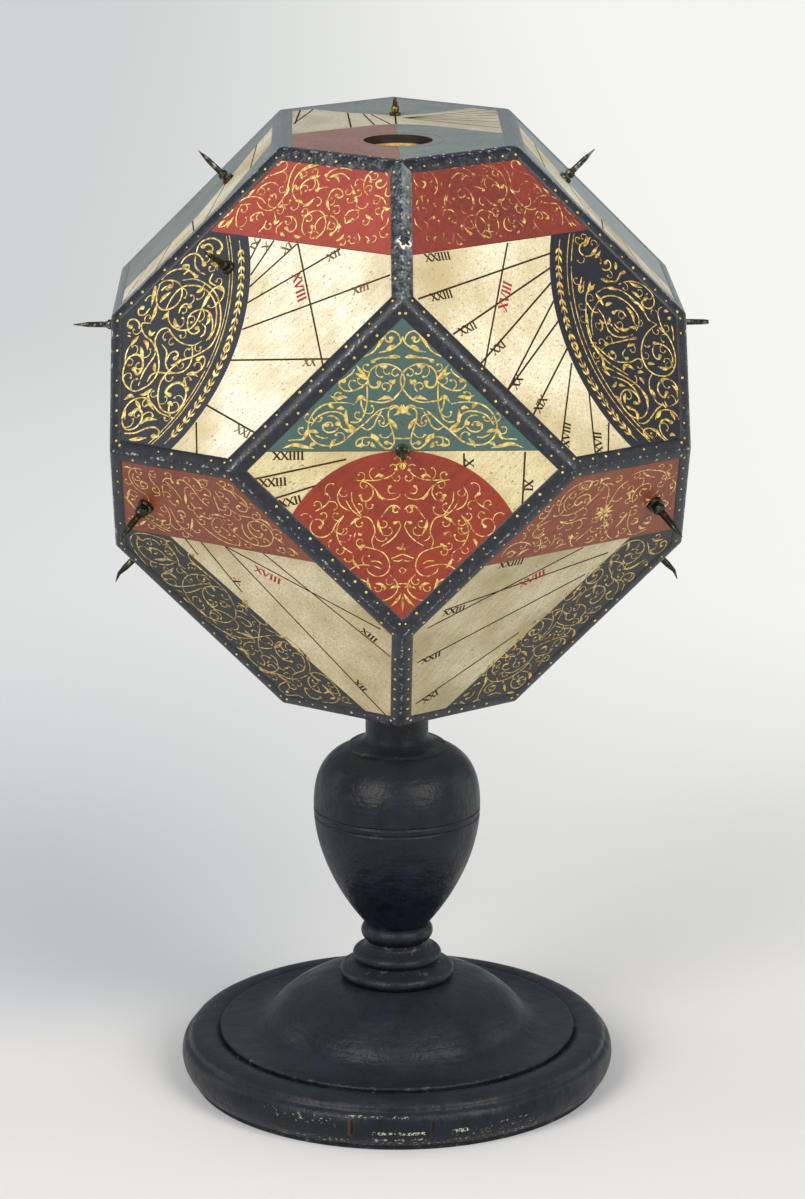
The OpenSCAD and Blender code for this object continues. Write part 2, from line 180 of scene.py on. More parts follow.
class Sketch:
    """Shapes drawn on one face and lifted onto the head as closed low reliefs, one layer per piece."""

    def __init__(self, face):
        self.face = face
        self.normal = FACES[face]
        self.right = right_of(self.normal)
        self.up = up_of(self.normal)
        self.board = shrink(OUTLINES[face], STRIP_W - UNDER_STRIP)
        self.layers = {}

    def layer(self, name):
        return self.layers.setdefault(name, {"verts": [], "faces": [], "finish": []})

    def lift(self, layer, points, height):
        base = MID + self.normal * (HALF + height)
        for u, v in points:
            layer["verts"].append((base + self.right * u + self.up * v) * MM)

    def field(self, finish, shape):
        """Flat painted field. Gives its shape back."""
        layer = self.layer("paint")
        n = len(shape)
        s = len(layer["verts"])
        for height in PAINT_HEIGHTS:
            self.lift(layer, shape, height)
        layer["faces"].append([s + n + k for k in range(n)])
        layer["faces"].append([s + k for k in reversed(range(n))])
        for k in range(n):
            m = (k + 1) % n
            layer["faces"].append([s + k, s + m, s + n + m, s + n + k])
        layer["finish"] += [finish] * (n + 2)
        return shape

    def ribbon(self, name, path, widths, finish, heights=GOLD_HEIGHTS):
        """Line of a brush: a low ridge along a path, its width given at each point."""
        layer = self.layer(name)
        low, high = heights
        path = np.asarray(path, float)
        along = np.gradient(path, axis=0)
        along /= np.maximum(np.linalg.norm(along, axis=1), 1e-9)[:, None]
        half = np.broadcast_to(np.asarray(widths, float), len(path))[:, None] / 2
        across = np.stack([-along[:, 1], along[:, 0]], 1) * half
        n = len(path)
        s = len(layer["verts"])
        self.lift(layer, path + across, low)
        self.lift(layer, path - across, low)
        self.lift(layer, path, high)
        for k in range(n - 1):
            a, b, c = s + k, s + n + k, s + 2 * n + k
            layer["faces"] += [[a, c, c + 1, a + 1], [c, b, b + 1, c + 1], [a, a + 1, b + 1, b]]
        e = s + n - 1
        layer["faces"] += [[s, s + n, s + 2 * n], [e + n, e, e + 2 * n]]
        layer["finish"] += [finish] * (3 * (n - 1) + 2)

    def numeral(self, text, u, v, height, degrees, finish):
        """Roman number with thick and thin strokes and serifs, centred on a point."""
        turn = math.radians(degrees)
        right = heading(turn) * height
        up = heading(turn + math.pi / 2) * height
        thick, thin = 0.27, 0.15
        serif_half, serif_width = 0.17, 0.12
        sizes = {"I": 0.5, "V": 0.98, "X": 0.98}
        strokes = {
            "I": [(0.25, 1, 0.25, 0, thick)],
            "V": [(0.08, 1, 0.49, 0, thick), (0.49, 0, 0.9, 1, thin)],
            "X": [(0.1, 1, 0.88, 0, thick), (0.1, 0, 0.88, 1, thin)],
        }
        pen = -sum(sizes[c] for c in text) / 2
        for c in text:
            for x0, y0, x1, y1, width in strokes[c]:
                a = np.array([u, v]) + right * (pen + x0) + up * (y0 - 0.5)
                b = np.array([u, v]) + right * (pen + x1) + up * (y1 - 0.5)
                self.ribbon("ink", [a, b], width * height, finish, INK_HEIGHTS)
                for end, y in ((a, y0), (b, y1)):
                    if c != "V" or y == 1:
                        serif = [end - right * serif_half, end + right * serif_half]
                        self.ribbon("ink", serif, serif_width * height, finish, INK_HEIGHTS)
            pen += sizes[c]

    def pieces(self):
        for name, layer in self.layers.items():
            made = piece(f"{name}_{self.face}", layer["verts"], layer["faces"])
            used = sorted(set(layer["finish"]))
            for finish in used:
                made.data.materials.append(FINISHES[finish])
            made.data.polygons.foreach_set("material_index", [used.index(f) for f in layer["finish"]])
            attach(made, "head")


def piece(name, verts, faces, rounded=False):
    mesh = bpy.data.meshes.new(name)
    mesh.from_pydata([tuple(v) for v in verts], [], faces)
    mesh.update()
    made = bpy.data.objects.new(name, mesh)
    bpy.context.scene.collection.objects.link(made)
    if rounded:
        mesh.shade_smooth()
        mesh.set_sharp_from_angle(angle=math.radians(40))
    return made


# Gilt scrollwork
LEAF = np.array([0.34, 0.78, 1, 0.94, 0.72, 0.42, 0.1])


def leaf(sketch, at, angle, length, width, finish, curl):
    """Leaf that bends from its stem to its tip."""
    turns = angle + curl * np.linspace(0, 1, len(LEAF))
    steps = np.stack([np.cos(turns), np.sin(turns)], 1) * length / (len(LEAF) - 1)
    path = np.asarray(at) + np.cumsum(steps, 0) - steps[0]
    sketch.ribbon("gold", path, width * LEAF, finish, LEAF_HEIGHTS)


def bud(sketch, at, r, finish):
    t = np.linspace(-0.96, 0.96, 6)
    path = np.asarray(at) + np.stack([r * t, 0 * t], 1)
    sketch.ribbon("gold", path, 2 * r * np.sqrt(1 - t * t), finish, BUD_HEIGHTS)


def flower(sketch, u, v, r, petals, finish):
    for k in range(petals):
        turn = 2 * math.pi * k / petals
        leaf(sketch, (u, v) + heading(turn) * r * 0.2, turn, r * 0.85, r * 0.42, finish, 0)
    bud(sketch, (u, v), r * 0.24, finish)


def smooth(points, step=0.55):
    """Curve through points."""
    p = np.asarray(points, float)
    q = np.concatenate([2 * p[:1] - p[1:2], p, 2 * p[-1:] - p[-2:-1]])
    made = []
    for a, b, c, d in zip(q, q[1:], q[2:], q[3:]):
        n = max(2, int(np.linalg.norm(c - b) / step))
        t = np.linspace(0, 1, n, endpoint=False)[:, None]
        made.append((2 * b + (c - a) * t + (2 * a - 5 * b + 4 * c - d) * t ** 2
                     + (3 * b - a - 3 * c + d) * t ** 3) / 2)
    return np.concatenate([*made, p[-1:]])


def stroke_path(numbers, way):
    """Path of a stroke (right, up, right, up, ...), mirrored where way is -1."""
    return smooth(np.array(numbers, float).reshape(-1, 2) * (way, 1))


def walk(path):
    """Direction of a path at each of its points, and its length up to there."""
    lengths = np.linalg.norm(np.diff(path, axis=0), axis=1)
    return np.gradient(path, axis=0), np.concatenate([[0], np.cumsum(lengths)])


def taper(t):
    """Width of a line that starts thin and soon is full."""
    return 0.62 + 0.38 * np.clip(6 * t, 0, 1)


def vine(sketch, strokes, finish, weight=0.9, way=1):
    """Scrollwork drawn stroke by stroke: (kind, right, up, right, up, ...). A line is even, a drop ends in a
    round drop, and a leaf swells in its middle."""
    for kind, *numbers in strokes:
        path = stroke_path(numbers, way)
        t = np.linspace(0, 1, len(path))
        if kind == "leaf":
            widths = weight * (0.25 + 2.1 * np.sin(math.pi * t ** 0.85) ** 1.2)
        elif kind == "drop":
            widths = weight * taper(t) * (1 + 0.8 * np.clip(5 * t - 3.9, 0, 1))
        else:
            widths = weight * taper(np.minimum(t, 1 - t))
        sketch.ribbon("gold", path, widths, finish, LEAF_HEIGHTS if kind == "leaf" else GOLD_HEIGHTS)
        if kind == "drop":
            bud(sketch, path[-1], 1.2 * weight, finish)


def tendrils(sketch, strokes, field, finish, weight=0.5, way=1, step=3.6):
    """Small curls that leave the strokes of a vine and fill the ground between them where there is room."""
    count, size, room = 13, 1.5, 0.95
    shares = np.linspace(0.44, 0.17, count)[:, None]
    paths = [stroke_path(numbers, way) for _, *numbers in strokes]
    taken = np.concatenate(paths)
    for path in paths:
        along, run = walk(path)
        for k, at in enumerate(np.searchsorted(run, np.arange(step / 2, run[-1], step))):
            for side in ((1, -1) if k % 2 else (-1, 1)):
                bend = 0.55 + np.linspace(0, 4.2 - 0.9 * (k % 3), count)
                turns = math.atan2(along[at][1], along[at][0]) + side * bend
                steps = np.stack([np.cos(turns), np.sin(turns)], 1) * size * shares
                curl = path[at] + np.cumsum(steps, 0)
                gaps = np.linalg.norm(curl[5:, None] - taken[None], axis=2)
                if inside(curl, field).all() and gaps.min() > room:
                    sketch.ribbon("gold", curl, weight * np.linspace(1, 0.7, count), finish)
                    bud(sketch, curl[-1], 0.95 * weight, finish)
                    taken = np.concatenate([taken, curl])
                    break


UPPER_NAVY = [
    ("drop", -34.6, 6.6, -29.6, 7.6, -24.6, 6.6, -18.9, 3.7, -15.3, -0.6, -13.1, -5.6, -12.5, -10.6, -13.5,
     -15.6, -16, -18.4, -20.3, -21.3, -24.6, -23.4, -27.4, -26.3, -29.6, -29.9, -30.6, -33.4, -29.6, -38.4,
     -26.7, -42.2, -22.4, -43.2, -19.2, -41.3, -17.8, -37, -18.9, -33.4, -22.1, -31.6, -25.3, -32.7, -27.1,
     -35.6, -24.9, -36.6),
    ("drop", -18.1, -14.9, -21.7, -17.1, -27.4, -16.6, -31.7, -14.3, -34.6, -12.1, -37.3, -12.9, -38.5,
     -15.2, -38.3, -18.1, -35.9, -21.6, -33.9, -25.2, -33.1, -29.1, -34.6, -33.1, -37.4, -35.7, -40.6,
     -37.2, -44.2, -36.3, -47.1, -33.8, -48.4, -30.2, -48.3, -26.6, -46.7, -24.3, -43.9, -23.6, -41.4,
     -25.2, -40.4, -28.1, -41.7, -30.9, -43.9, -29.1),
    ("line", -38, -5, -37, -0.5, -34.5, 3.4, -31, 5, -25.5, 5, -20.5, 2.6, -17, -1, -15, -5.6, -14.4,
     -10.6, -15.4, -14),
    ("line", -36.7, -5.6, -35.3, -9.1, -32.4, -11.3, -28.5, -12.1, -24.8, -10.9, -23, -7.6, -22.6, -3.6,
     -22.2, 0.4, -21, 3.6, -18.8, 6, -16.4, 6, -15, 3.8, -15.4, 1, -17, -0.2),
    ("drop", -32, -6, -31.6, -3.2, -29.8, -2, -28, -2.8), ("leaf", -33, -8, -31.6, -10.4, -29, -11),
    ("line", -26.4, -9.6, -27.2, -7.4, -26, -4.9, -22.4, -3.3, -18.5, -4.2, -16, -7.6, -15.2, -11.6, -16.4,
     -14.6),
    ("leaf", -18.8, -4.4, -18, -7, -18.6, -8.8),
    ("drop", -27, -9, -25.2, -12, -22.6, -12.8, -20.8, -11.4, -22, -10.4),
    ("line", -20.4, -8.6, -18.6, -9.6, -18.2, -12, -19.4, -13.6),
    ("leaf", -27.2, 2.6, -25.4, 3.9, -24.4, 6.4), ("leaf", -22.4, -2.4, -21.8, 0.2, -20.6, 2.4),
    ("leaf", -19.4, 5.6, -17.2, 5.6, -15.6, 4.4),
    ("line", -44.4, 3.6, -42.4, 5.4, -38, 5.9, -34.6, 4.4, -33, 0.9, -34, -2.9, -36.8, -5, -40, -5.4,
     -42.8, -3.4, -44, 0.2, -44, 4.2),
    ("drop", -42.6, 1.6, -41.2, 3.2, -39.4, 3.6), ("leaf", -41.6, -3, -40.4, -0.6, -38, 1.6),
    ("drop", -44, 5.6, -42.2, 8.2, -38.8, 10.3, -34.6, 10.9, -31.4, 9.8, -29.2, 8.7),
    ("drop", -35, 8.8, -33.6, 10.6, -34, 12.6, -35.6, 12),
    ("drop", -37.6, 12.6, -37, 14.6, -35.2, 16.4, -32.4, 17.2, -29.6, 16, -27.4, 13.6),
    ("line", -32.4, 16.6, -31.2, 12.8, -28.6, 10.8, -25.4, 9.8),
    ("drop", -32.4, 17.6, -32.4, 20.4, -30.8, 22.6, -27.4, 23.8, -23.8, 23, -21.8, 20.8, -22.8, 18.9),
    ("drop", -25.4, 19.2, -26.4, 20.8, -28.4, 21.4, -30.2, 20.2),
    ("line", -22.4, 10.6, -22.8, 7.6, -19.6, 6.2), ("leaf", -24.6, 16.6, -26.4, 18.6, -28.6, 18.4),
    ("leaf", -46.2, 4, -45.4, 1, -44.8, -5),
    ("drop", -45.2, -5.6, -46.6, -8.2, -49, -8.6, -50, -6.8, -48.6, -5.8),
    ("leaf", -42.6, -3.6, -42.4, -7.6, -43, -11),
    ("line", -42.6, -11.2, -46.4, -11.6, -46, -13.6, -43.6, -16, -40, -17.8, -37.6, -20, -36.8, -23, -38.4,
     -27, -39.4, -30, -39.8, -35),
    ("drop", -47, -14, -48, -11.6, -50.4, -10.6, -52.6, -11.4, -52.6, -13.4, -51, -13.6),
    ("line", -51.6, -15.8, -50, -16), ("line", -51.2, -17, -49.8, -17.2),
    ("leaf", -46.2, -16.4, -47.4, -18.6, -49, -21), ("line", -49, -21, -49.4, -24, -48.6, -27.4),
    ("leaf", -43.6, -18, -41.6, -19, -40.6, -21.4), ("leaf", -44, -20.4, -42.4, -23, -41.2, -26),
    ("leaf", -42.4, -13.6, -41.2, -15.4, -39.6, -14),
    ("drop", -31, -25, -30.4, -21.6, -28.4, -20.2, -26.6, -21.2, -27.4, -22.8),
    ("line", -35, -18.4, -32, -20.8, -31, -25, -28.4, -27.8, -25, -28.2, -21.6, -26.6, -20.2, -23.4, -20.8,
     -19.4, -22, -17.2),
    ("line", -36.4, -33, -35.6, -30.4, -33, -29, -29, -28.8, -26, -28.4),
    ("drop", -20, -27.6, -16.4, -26.8, -14.4, -24.6, -14.4, -21.6, -16, -20.6, -17.4, -21.8),
    ("leaf", -20.4, -28.2, -17.6, -27.4, -15.2, -28.4), ("drop", -21, -29.4, -19.6, -31.6, -18.2, -33.4),
    ("drop", -19.6, -44.8, -21.6, -44.6, -23.4, -42, -23.8, -39.6),
    ("leaf", -35.6, -25.6, -35, -28, -34, -29),
    ("drop", -22.4, -44.6, -27, -43.6, -30.6, -41.4, -34.4, -39.2, -38.6, -39.8, -41.6, -42.2, -42.6, -46,
     -41.8, -49.6, -39, -51.8, -35.6, -50.8, -33.8, -47.6, -34.6, -44.6, -37.4, -43.8, -39.2, -46),
    ("leaf", -34.4, -37.2, -33, -40.4, -29.6, -43.2), ("leaf", -44, -41, -42, -39.2, -39.8, -39.6),
    ("leaf", -39, -40.6, -36.8, -42.4, -35.4, -44), ("leaf", -42.4, -44, -42, -46.6, -40.8, -48.4),
    ("leaf", -33.6, -49, -31.4, -46.8, -27, -46.4),
    ("drop", -39.4, -53.4, -35, -52.6, -31, -50.4, -27.6, -49.4, -25, -50.2, -24.6, -52.4, -26.6, -52.6),
    ("leaf", -36.6, -55.4, -32.6, -54.6, -29, -53.6), ("leaf", -24.6, -22.6, -26.4, -25, -28.6, -25.6),
    ("leaf", -38.4, -9, -37, -7.4, -36.4, -5.4), ("leaf", -24.6, 14.4, -22.4, 14, -20.8, 12),
    ("leaf", -33.2, -35.2, -35.6, -37.6, -38, -38.2),
]
UPPER_RIGHT_NAVY = [
    ("line", 26.4, 22.2, 23.6, 20.9, 22.4, 19, 23.2, 17.2, 25.2, 16.4, 27.6, 17, 29.6, 18.6, 32.4, 20.4),
    ("leaf", 26.4, 16.2, 29, 18, 31.6, 19.8), ("leaf", 24.8, 20.2, 26.4, 21.8, 27.4, 23.8),
    ("leaf", 25.8, 20.4, 27.6, 22.4, 29.4, 23.4), ("leaf", 28.2, 15.4, 30.2, 16.4, 31.8, 17.8),
    ("drop", 30, 11.2, 30.6, 10.4, 32.2, 10.2, 33.8, 11, 34.4, 12.6, 33.6, 13.8, 32.2, 13),
    ("leaf", 35.8, 9.8, 36.4, 11.2, 36.8, 12.8), ("leaf", 28.2, 7.6, 29.6, 6.4, 31.6, 5.6),
    ("drop", 27.8, 7.2, 29.8, 5.8, 32, 5.8, 34.2, 5.5, 36, 6.8, 37.4, 8.2, 39, 8.4),
    ("drop", 20, 7.2, 19, 5.6, 18.2, 3.8, 16.8, 3.4, 16.4, 4.6, 17.4, 5.6),
    ("leaf", 20.4, 3, 21.6, 5, 22.8, 6.8), ("leaf", 21, 3.6, 23, 4.6, 24.4, 5.6),
    ("line", 17.8, -0.4, 19, 2, 20.6, 3.8, 22, 5.4), ("line", 18, -0.2, 18.8, -2.6, 20, -4.6, 21.8, -5),
    ("line", 24.2, 2.4, 28, 3.6, 31.5, 3.2, 35, 1.8, 38, -0.6, 40.4, -3.6, 42.2, -7.2, 43.2, -10.6, 44.6,
     -11.8, 46.2, -13),
    ("leaf", 29.4, 3.6, 31.8, 3, 33.4, 2), ("leaf", 38, -0.8, 39.2, -2.8, 40.2, -4.4),
    ("leaf", 40.4, -3.2, 42, -6, 42.8, -8.6),
    ("line", 16.2, -13, 17.2, -8.8, 19, -5, 21.4, -2.6, 24.4, -0.4, 27.6, 0.5, 31, 0.2, 34.2, -1.4, 36.8,
     -4, 38.6, -7.2, 39, -9.4, 38, -12.2, 36, -14),
    ("leaf", 35, -4.4, 36.6, -7.6, 36.2, -11.6), ("drop", 33.6, -8.4, 32.8, -6.2, 30.6, -5.4, 28.6, -6),
    ("drop", 27.2, -10, 28.6, -12.4, 31.4, -13.2, 34, -12.4, 35.6, -12.8),
    ("leaf", 28, -11.6, 31, -13.2, 34.2, -12.4), ("leaf", 23.4, 2.2, 24.6, -0.8, 25.4, -3.6),
    ("leaf", 25.6, -3, 27.6, -2.4, 29.6, -2.4),
    ("line", 22, -3.4, 23.4, -6.4, 23.6, -9.6, 23.8, -12.4, 25.6, -14.6, 28.6, -15.6, 31.6, -15.7, 34,
     -15.2),
    ("leaf", 24, -10, 25.4, -9, 26.2, -7.4), ("line", 25.6, -10, 26.8, -12.2, 28, -13.6),
    ("leaf", 21.4, -7.6, 22, -9, 23.2, -9.4), ("line", 22, -9.2, 21.4, -11, 20, -12.2),
    ("drop", 35, 4.2, 38.4, 4.8, 42, 4.4, 45.4, 2.8, 47.8, 0.2, 48.8, -2.6, 47.8, -5.4, 45.4, -6.6, 43.2,
     -5.6, 42.8, -3.8, 44.6, -2.8),
    ("leaf", 39.8, 1, 41.4, -0.6, 42.6, -2.8), ("leaf", 40, 4.4, 42.6, 2.6, 45.2, 1.6),
    ("line", 46.2, -13, 43.4, -14, 40.2, -15.8, 37.4, -18.4, 35.4, -21.8, 34.8, -25, 35.4, -28.4, 37.4,
     -30.9, 40.4, -32.3, 43.6, -32.5, 46.6, -31.2, 48.9, -28.4, 50.1, -24.8, 50.2, -21, 49.4, -17.8, 48.2,
     -15, 48, -12, 48.3, -9, 49.6, -7.2, 51, -6.8),
    ("leaf", 46.6, -14.2, 48, -15.4, 49, -17.6),
    ("drop", 40.6, -28.6, 43, -30, 45.8, -29.8, 47.8, -28, 48.4, -25, 47.4, -22.2, 45, -20.5, 42.4, -19.8),
    ("leaf", 41, -28.6, 43.4, -30, 46.4, -29.4),
    ("drop", 41.8, -20.6, 40.4, -22.6, 40.6, -25, 42, -26, 43, -24.8),
    ("line", 37.4, -19.8, 38.6, -20.8, 40, -20.4), ("leaf", 36, -26.8, 37.6, -27, 39.4, -27.6),
    ("leaf", 51.2, -8.6, 52.4, -8.4, 53.4, -9), ("leaf", 51.6, -11.2, 52.8, -11.4, 53.8, -11),
    ("line", 52.8, -14, 52.4, -17, 51.4, -20),
    ("line", 15.6, -16.6, 17.6, -19.2, 20, -22, 23, -24.2, 26.4, -25, 29.6, -25.2, 32.4, -24.5, 34.8,
     -25.2),
    ("drop", 20.4, -20.6, 21, -22.6, 22.8, -23, 23.4, -21.4, 22.2, -20.6),
    ("leaf", 19.6, -17.8, 20.8, -17, 22.2, -17.4),
    ("drop", 17.8, -19, 20.6, -17.6, 24.4, -17.2, 28.4, -17, 31.8, -16.8, 34.4, -16.8),
    ("leaf", 29.6, -19.6, 31.4, -18.8, 33.6, -19),
    ("drop", 28.4, -20.4, 26.8, -21.4, 26.6, -23, 27.8, -23.8),
    ("drop", 16, -24.8, 19, -26.6, 22.2, -28.8, 25.4, -31.2, 28.2, -33.8, 30, -36.4, 30.8, -39.4, 30.4,
     -42.4, 28.6, -45, 25.8, -46.4, 22.6, -45.8, 20.2, -43.6, 19, -40.6, 19.4, -37.6, 21.2, -35.6, 23.8,
     -35.2, 26.2, -36.6, 27.4, -38.8, 26.8, -40.8, 25, -40.6),
    ("leaf", 29.6, -35.6, 30.9, -39.4, 29.8, -43.4),
    ("line", 16.4, -26.4, 18.4, -29.2, 21.6, -30.6, 24.6, -32.6, 26.8, -35.4, 27.4, -38),
    ("leaf", 17, -33.2, 18.6, -32.8, 20, -31.6), ("leaf", 20.2, -33, 21.6, -33.2, 23, -34),
    ("leaf", 17.4, -36.6, 18.4, -38, 18.8, -40), ("leaf", 20.6, -41, 22.4, -42.4, 24, -43.4),
    ("leaf", 22.2, -36.4, 21, -38.2, 20.6, -40), ("leaf", 25.4, -25.6, 28, -26.8, 29.6, -28.4),
    ("leaf", 24.4, -28, 25.6, -26.6, 27.4, -25.8), ("leaf", 30.4, -29.8, 32, -29.4, 33.4, -30),
    ("leaf", 30.6, -31.4, 31.6, -32.8, 31.8, -34.4), ("leaf", 16.4, -20, 17.2, -22, 16.6, -24),
    ("drop", 37, -30.8, 34.8, -33, 33.7, -35.8, 33.8, -39, 35, -41.8, 37.2, -43.3, 40, -43.9, 42.8, -43.4,
     45, -41.8, 46.1, -39.2, 45.8, -36.4, 44.2, -34.4, 41.6, -33.6, 39, -34.4, 37.3, -36.4, 37.3, -38.8,
     38.8, -40.4, 40.6, -38.8),
    ("leaf", 44, -36.2, 45.6, -38.4, 44.6, -41.4), ("leaf", 39, -35, 41, -33.6, 43, -34),
    ("leaf", 34.2, -36.6, 34.6, -38.4, 34.4, -40.4), ("line", 37, -42, 38, -44.4),
    ("line", 38.4, -41.8, 38.8, -44.2),
    ("line", 37, -43, 34, -44.2, 31.2, -46, 28.6, -47.8, 26, -48.6, 23.6, -48),
    ("drop", 31.6, -48, 33.4, -45.8, 36, -45, 38.8, -45.2, 41.2, -46.8, 42.3, -49.6, 42, -52.8, 40.2,
     -55.8, 37.2, -57.3, 34.4, -56.4, 32.6, -54, 32.4, -51.2, 34, -49, 36.4, -48.6, 38.2, -50),
    ("leaf", 32.4, -47.6, 34, -46.4, 35.4, -45.4), ("leaf", 39.4, -46, 40.2, -47.6, 40.2, -49.4),
    ("line", 24, -52.6, 25.2, -50.9, 27.6, -50.7, 29.6, -51.6, 31.4, -54.2, 33.4, -56.6, 35.4, -57.4),
    ("leaf", 28, -50.6, 30.4, -52.2, 31.6, -55), ("leaf", 24.4, -51.6, 25.4, -53.6, 26.4, -54.8),
    ("leaf", 23.8, -42.8, 24.4, -45, 23.6, -47.6), ("leaf", 35.6, -54.8, 37, -54.4, 38.2, -55.2),
    ("line", 18, -0.6, 16.2, -4.6, 14.8, -9.6, 14.6, -14.6, 15.8, -19.4, 17.4, -23),
    ("line", 14, -15.8, 16.6, -16.2), ("line", 15.4, -17.4, 17, -21, 19.4, -24.4, 22.4, -27, 26, -30),
    ("line", 15.2, -26, 17.4, -28.6, 20, -30), ("line", 16.6, -5, 15.4, -9.6, 15.2, -14),
    ("leaf", 17.4, -22, 16.6, -25.6, 18.6, -26.6), ("line", 14, -17, 16.4, -17.6),
    ("line", 19.6, 9, 17.6, 5.8, 17, 3.6),
]
UPPER_RED = [
    ("drop", -13.4, 47, -11.8, 49.4, -8.6, 51, -5.8, 52.4, -4.6, 54.2, -5.6, 56, -7.4, 55.8, -8.6, 54.6),
    ("line", -14.2, 42.6, -13.4, 45, -11, 47, -8.4, 47.6, -5.8, 46.6),
    ("line", 1.4, 55.2, 0, 56, -1.2, 54.6, -2, 51, -1.8, 47, -2, 43, -3, 40.2, -5, 37.6, -7.6, 36.8, -10.6,
     37.6, -13, 39.6),
    ("leaf", -2, 48, -1.2, 45.4, -1.8, 42.6), ("drop", -5, 41.4, -6, 43.4, -7.4, 42.6),
    ("leaf", -10, 45.4, -9.2, 44.4, -8.6, 43.8),
    ("line", -21, 38.4, -18.6, 40.4, -15, 41.4, -11.4, 41, -9, 39.4),
    ("line", -19.6, 37.6, -17, 38.2, -13.4, 38.8), ("leaf", -17.4, 40.6, -16.6, 42.8, -15.2, 44.4),
    ("line", -19.2, 38, -20, 35, -19.6, 32, -18.4, 29.6, -15.6, 28.4),
    ("drop", -8, 34.6, -9.6, 35.8, -12, 35.2, -13.6, 33.4, -12.8, 32.6),
    ("leaf", -22, 36, -23.8, 33.4, -25.2, 31.8), ("leaf", -26.4, 28.2, -25.4, 30.2, -24, 31.2),
    ("leaf", -22.6, 28.2, -21.8, 31, -20.8, 33), ("drop", -26, 28.2, -23.8, 29, -22.8, 30.6),
    ("line", 14, 55.8, 11, 56.6, 7.6, 56.8, 4, 55.2, 1.4, 52.4, 0.3, 49, 0.8, 45.6, 2.6, 43, 5.4, 41.4,
     8.8, 40.8),
    ("leaf", 2.4, 52.8, 4.8, 55, 9.6, 56.6),
    ("drop", 5.2, 44.4, 3.9, 46.8, 4.8, 49.2, 7.4, 50.9, 10, 50.4, 11.4, 48.4, 11.2, 46.6),
    ("leaf", 6.4, 51.4, 9, 51.6, 10.8, 52.4), ("drop", 0.8, 45.8, 1.4, 47.6, 2.6, 46.6),
    ("leaf", 2.2, 52.8, 2.8, 51, 3.6, 50.2), ("leaf", 7.4, 40, 9.4, 41.2, 11.4, 43.8),
    ("leaf", 3.4, 41.8, 5.4, 41.8, 7.4, 40.6), ("line", 11.2, 46.8, 13.4, 48, 15.4, 48.2),
    ("drop", 15.4, 50.8, 13.9, 51.2, 13.3, 52.8),
    ("line", 13.4, 52.8, 14.8, 54.6, 17.4, 55.8, 20.6, 56.2, 23.6, 55.6),
    ("leaf", 14.8, 52, 16.8, 53, 18.4, 52.2, 19.8, 50.4),
    ("line", 17.4, 53.6, 20, 54, 23, 52.6, 24.8, 51.2),
    ("drop", 19.2, 39.8, 17.8, 41.6, 17, 44.4, 17.6, 47, 19.4, 48.2, 21.8, 47.6, 22.8, 45.8, 21.4, 44.8,
     20.2, 45.6),
    ("leaf", 16.4, 44.4, 17.6, 41.8, 18.9, 39.8), ("line", 20.2, 41.6, 22.6, 42),
    ("line", 24.6, 50.4, 27, 48, 29.2, 45, 30, 42.4), ("leaf", 26.4, 48, 27.8, 46.4, 29.2, 44),
    ("line", 26.4, 38.4, 27.4, 40.4, 29.2, 41, 31.8, 41.2), ("drop", 26.4, 38, 27.6, 35.8, 29, 36.8),
    ("drop", 33.2, 47.2, 31.4, 48.6, 30.2, 51, 30.4, 54, 32, 56.2, 35, 57, 38, 56.2, 39.6, 53.8, 38.8,
     51.2, 36.6, 50.4, 35.2, 52, 36.6, 53.2),
    ("drop", 30.4, 54.8, 32, 54, 32.8, 52.4), ("drop", 40.2, 50.6, 40.6, 48, 42.4, 47.8, 43, 49.4),
    ("line", 36, 47.4, 38.6, 47.2, 40.6, 46.2, 42.2, 44.2), ("leaf", 41, 43.6, 42.8, 42.8, 44.4, 43.4),
    ("line", 42, 43.4, 41.4, 40.8, 42.6, 38.6), ("line", 44.6, 40, 44.8, 37.4, 43, 35),
    ("leaf", 34.8, 40, 36.6, 38.8, 38.6, 38.4),
    ("drop", 1.2, 35.4, 4.2, 35.6, 6.6, 33.8, 7, 31.4, 5.2, 30, 3, 31.2),
    ("drop", 9, 35.4, 11, 38, 14.4, 39.2, 17.2, 38, 19, 35.4, 19.4, 32.6, 18.4, 30.4, 17, 29.2),
    ("line", 9.4, 36.4, 9.4, 33.4, 10.2, 31, 12, 29.4), ("leaf", 7.8, 37, 9.6, 36.4, 11.2, 38.4),
    ("drop", 18.4, 30, 16, 31.6, 15, 33.8, 16, 36.2, 18.4, 37.6, 21.4, 37.6, 23.8, 36, 24.4, 33.4, 22.8,
     31),
    ("line", 20.8, 36, 20.4, 33.8, 20.8, 32.6), ("drop", 12.6, 30.6, 14.4, 31, 13.8, 33),
    ("leaf", 24.6, 35.6, 25.6, 33.8, 25.4, 32), ("leaf", 7.4, 29, 9, 28.4, 10.8, 28.8),
    ("leaf", -3.4, 38.6, -1.4, 39.2, 0.4, 38.2), ("line", -4.4, 37, -3, 34.8, -2, 32.8),
    ("leaf", -3, 33.8, -2.2, 32.4, -0.8, 33.8), ("line", -6.4, 33.2, -6.8, 30.6, -8.2, 28.4),
    ("line", 0.8, 33.4, -1, 31, -0.4, 28.6), ("leaf", 1.2, 29.6, 2.4, 28.4, 3.8, 28),
    ("leaf", 30, 31.6, 31, 30.4, 31, 29), ("line", 34, 32.6, 35.4, 30.6, 35, 29),
    ("drop", 37.6, 31.8, 39, 31.2, 39.4, 30), ("leaf", 25.8, 28.8, 27.4, 30, 28.4, 31.8),
]
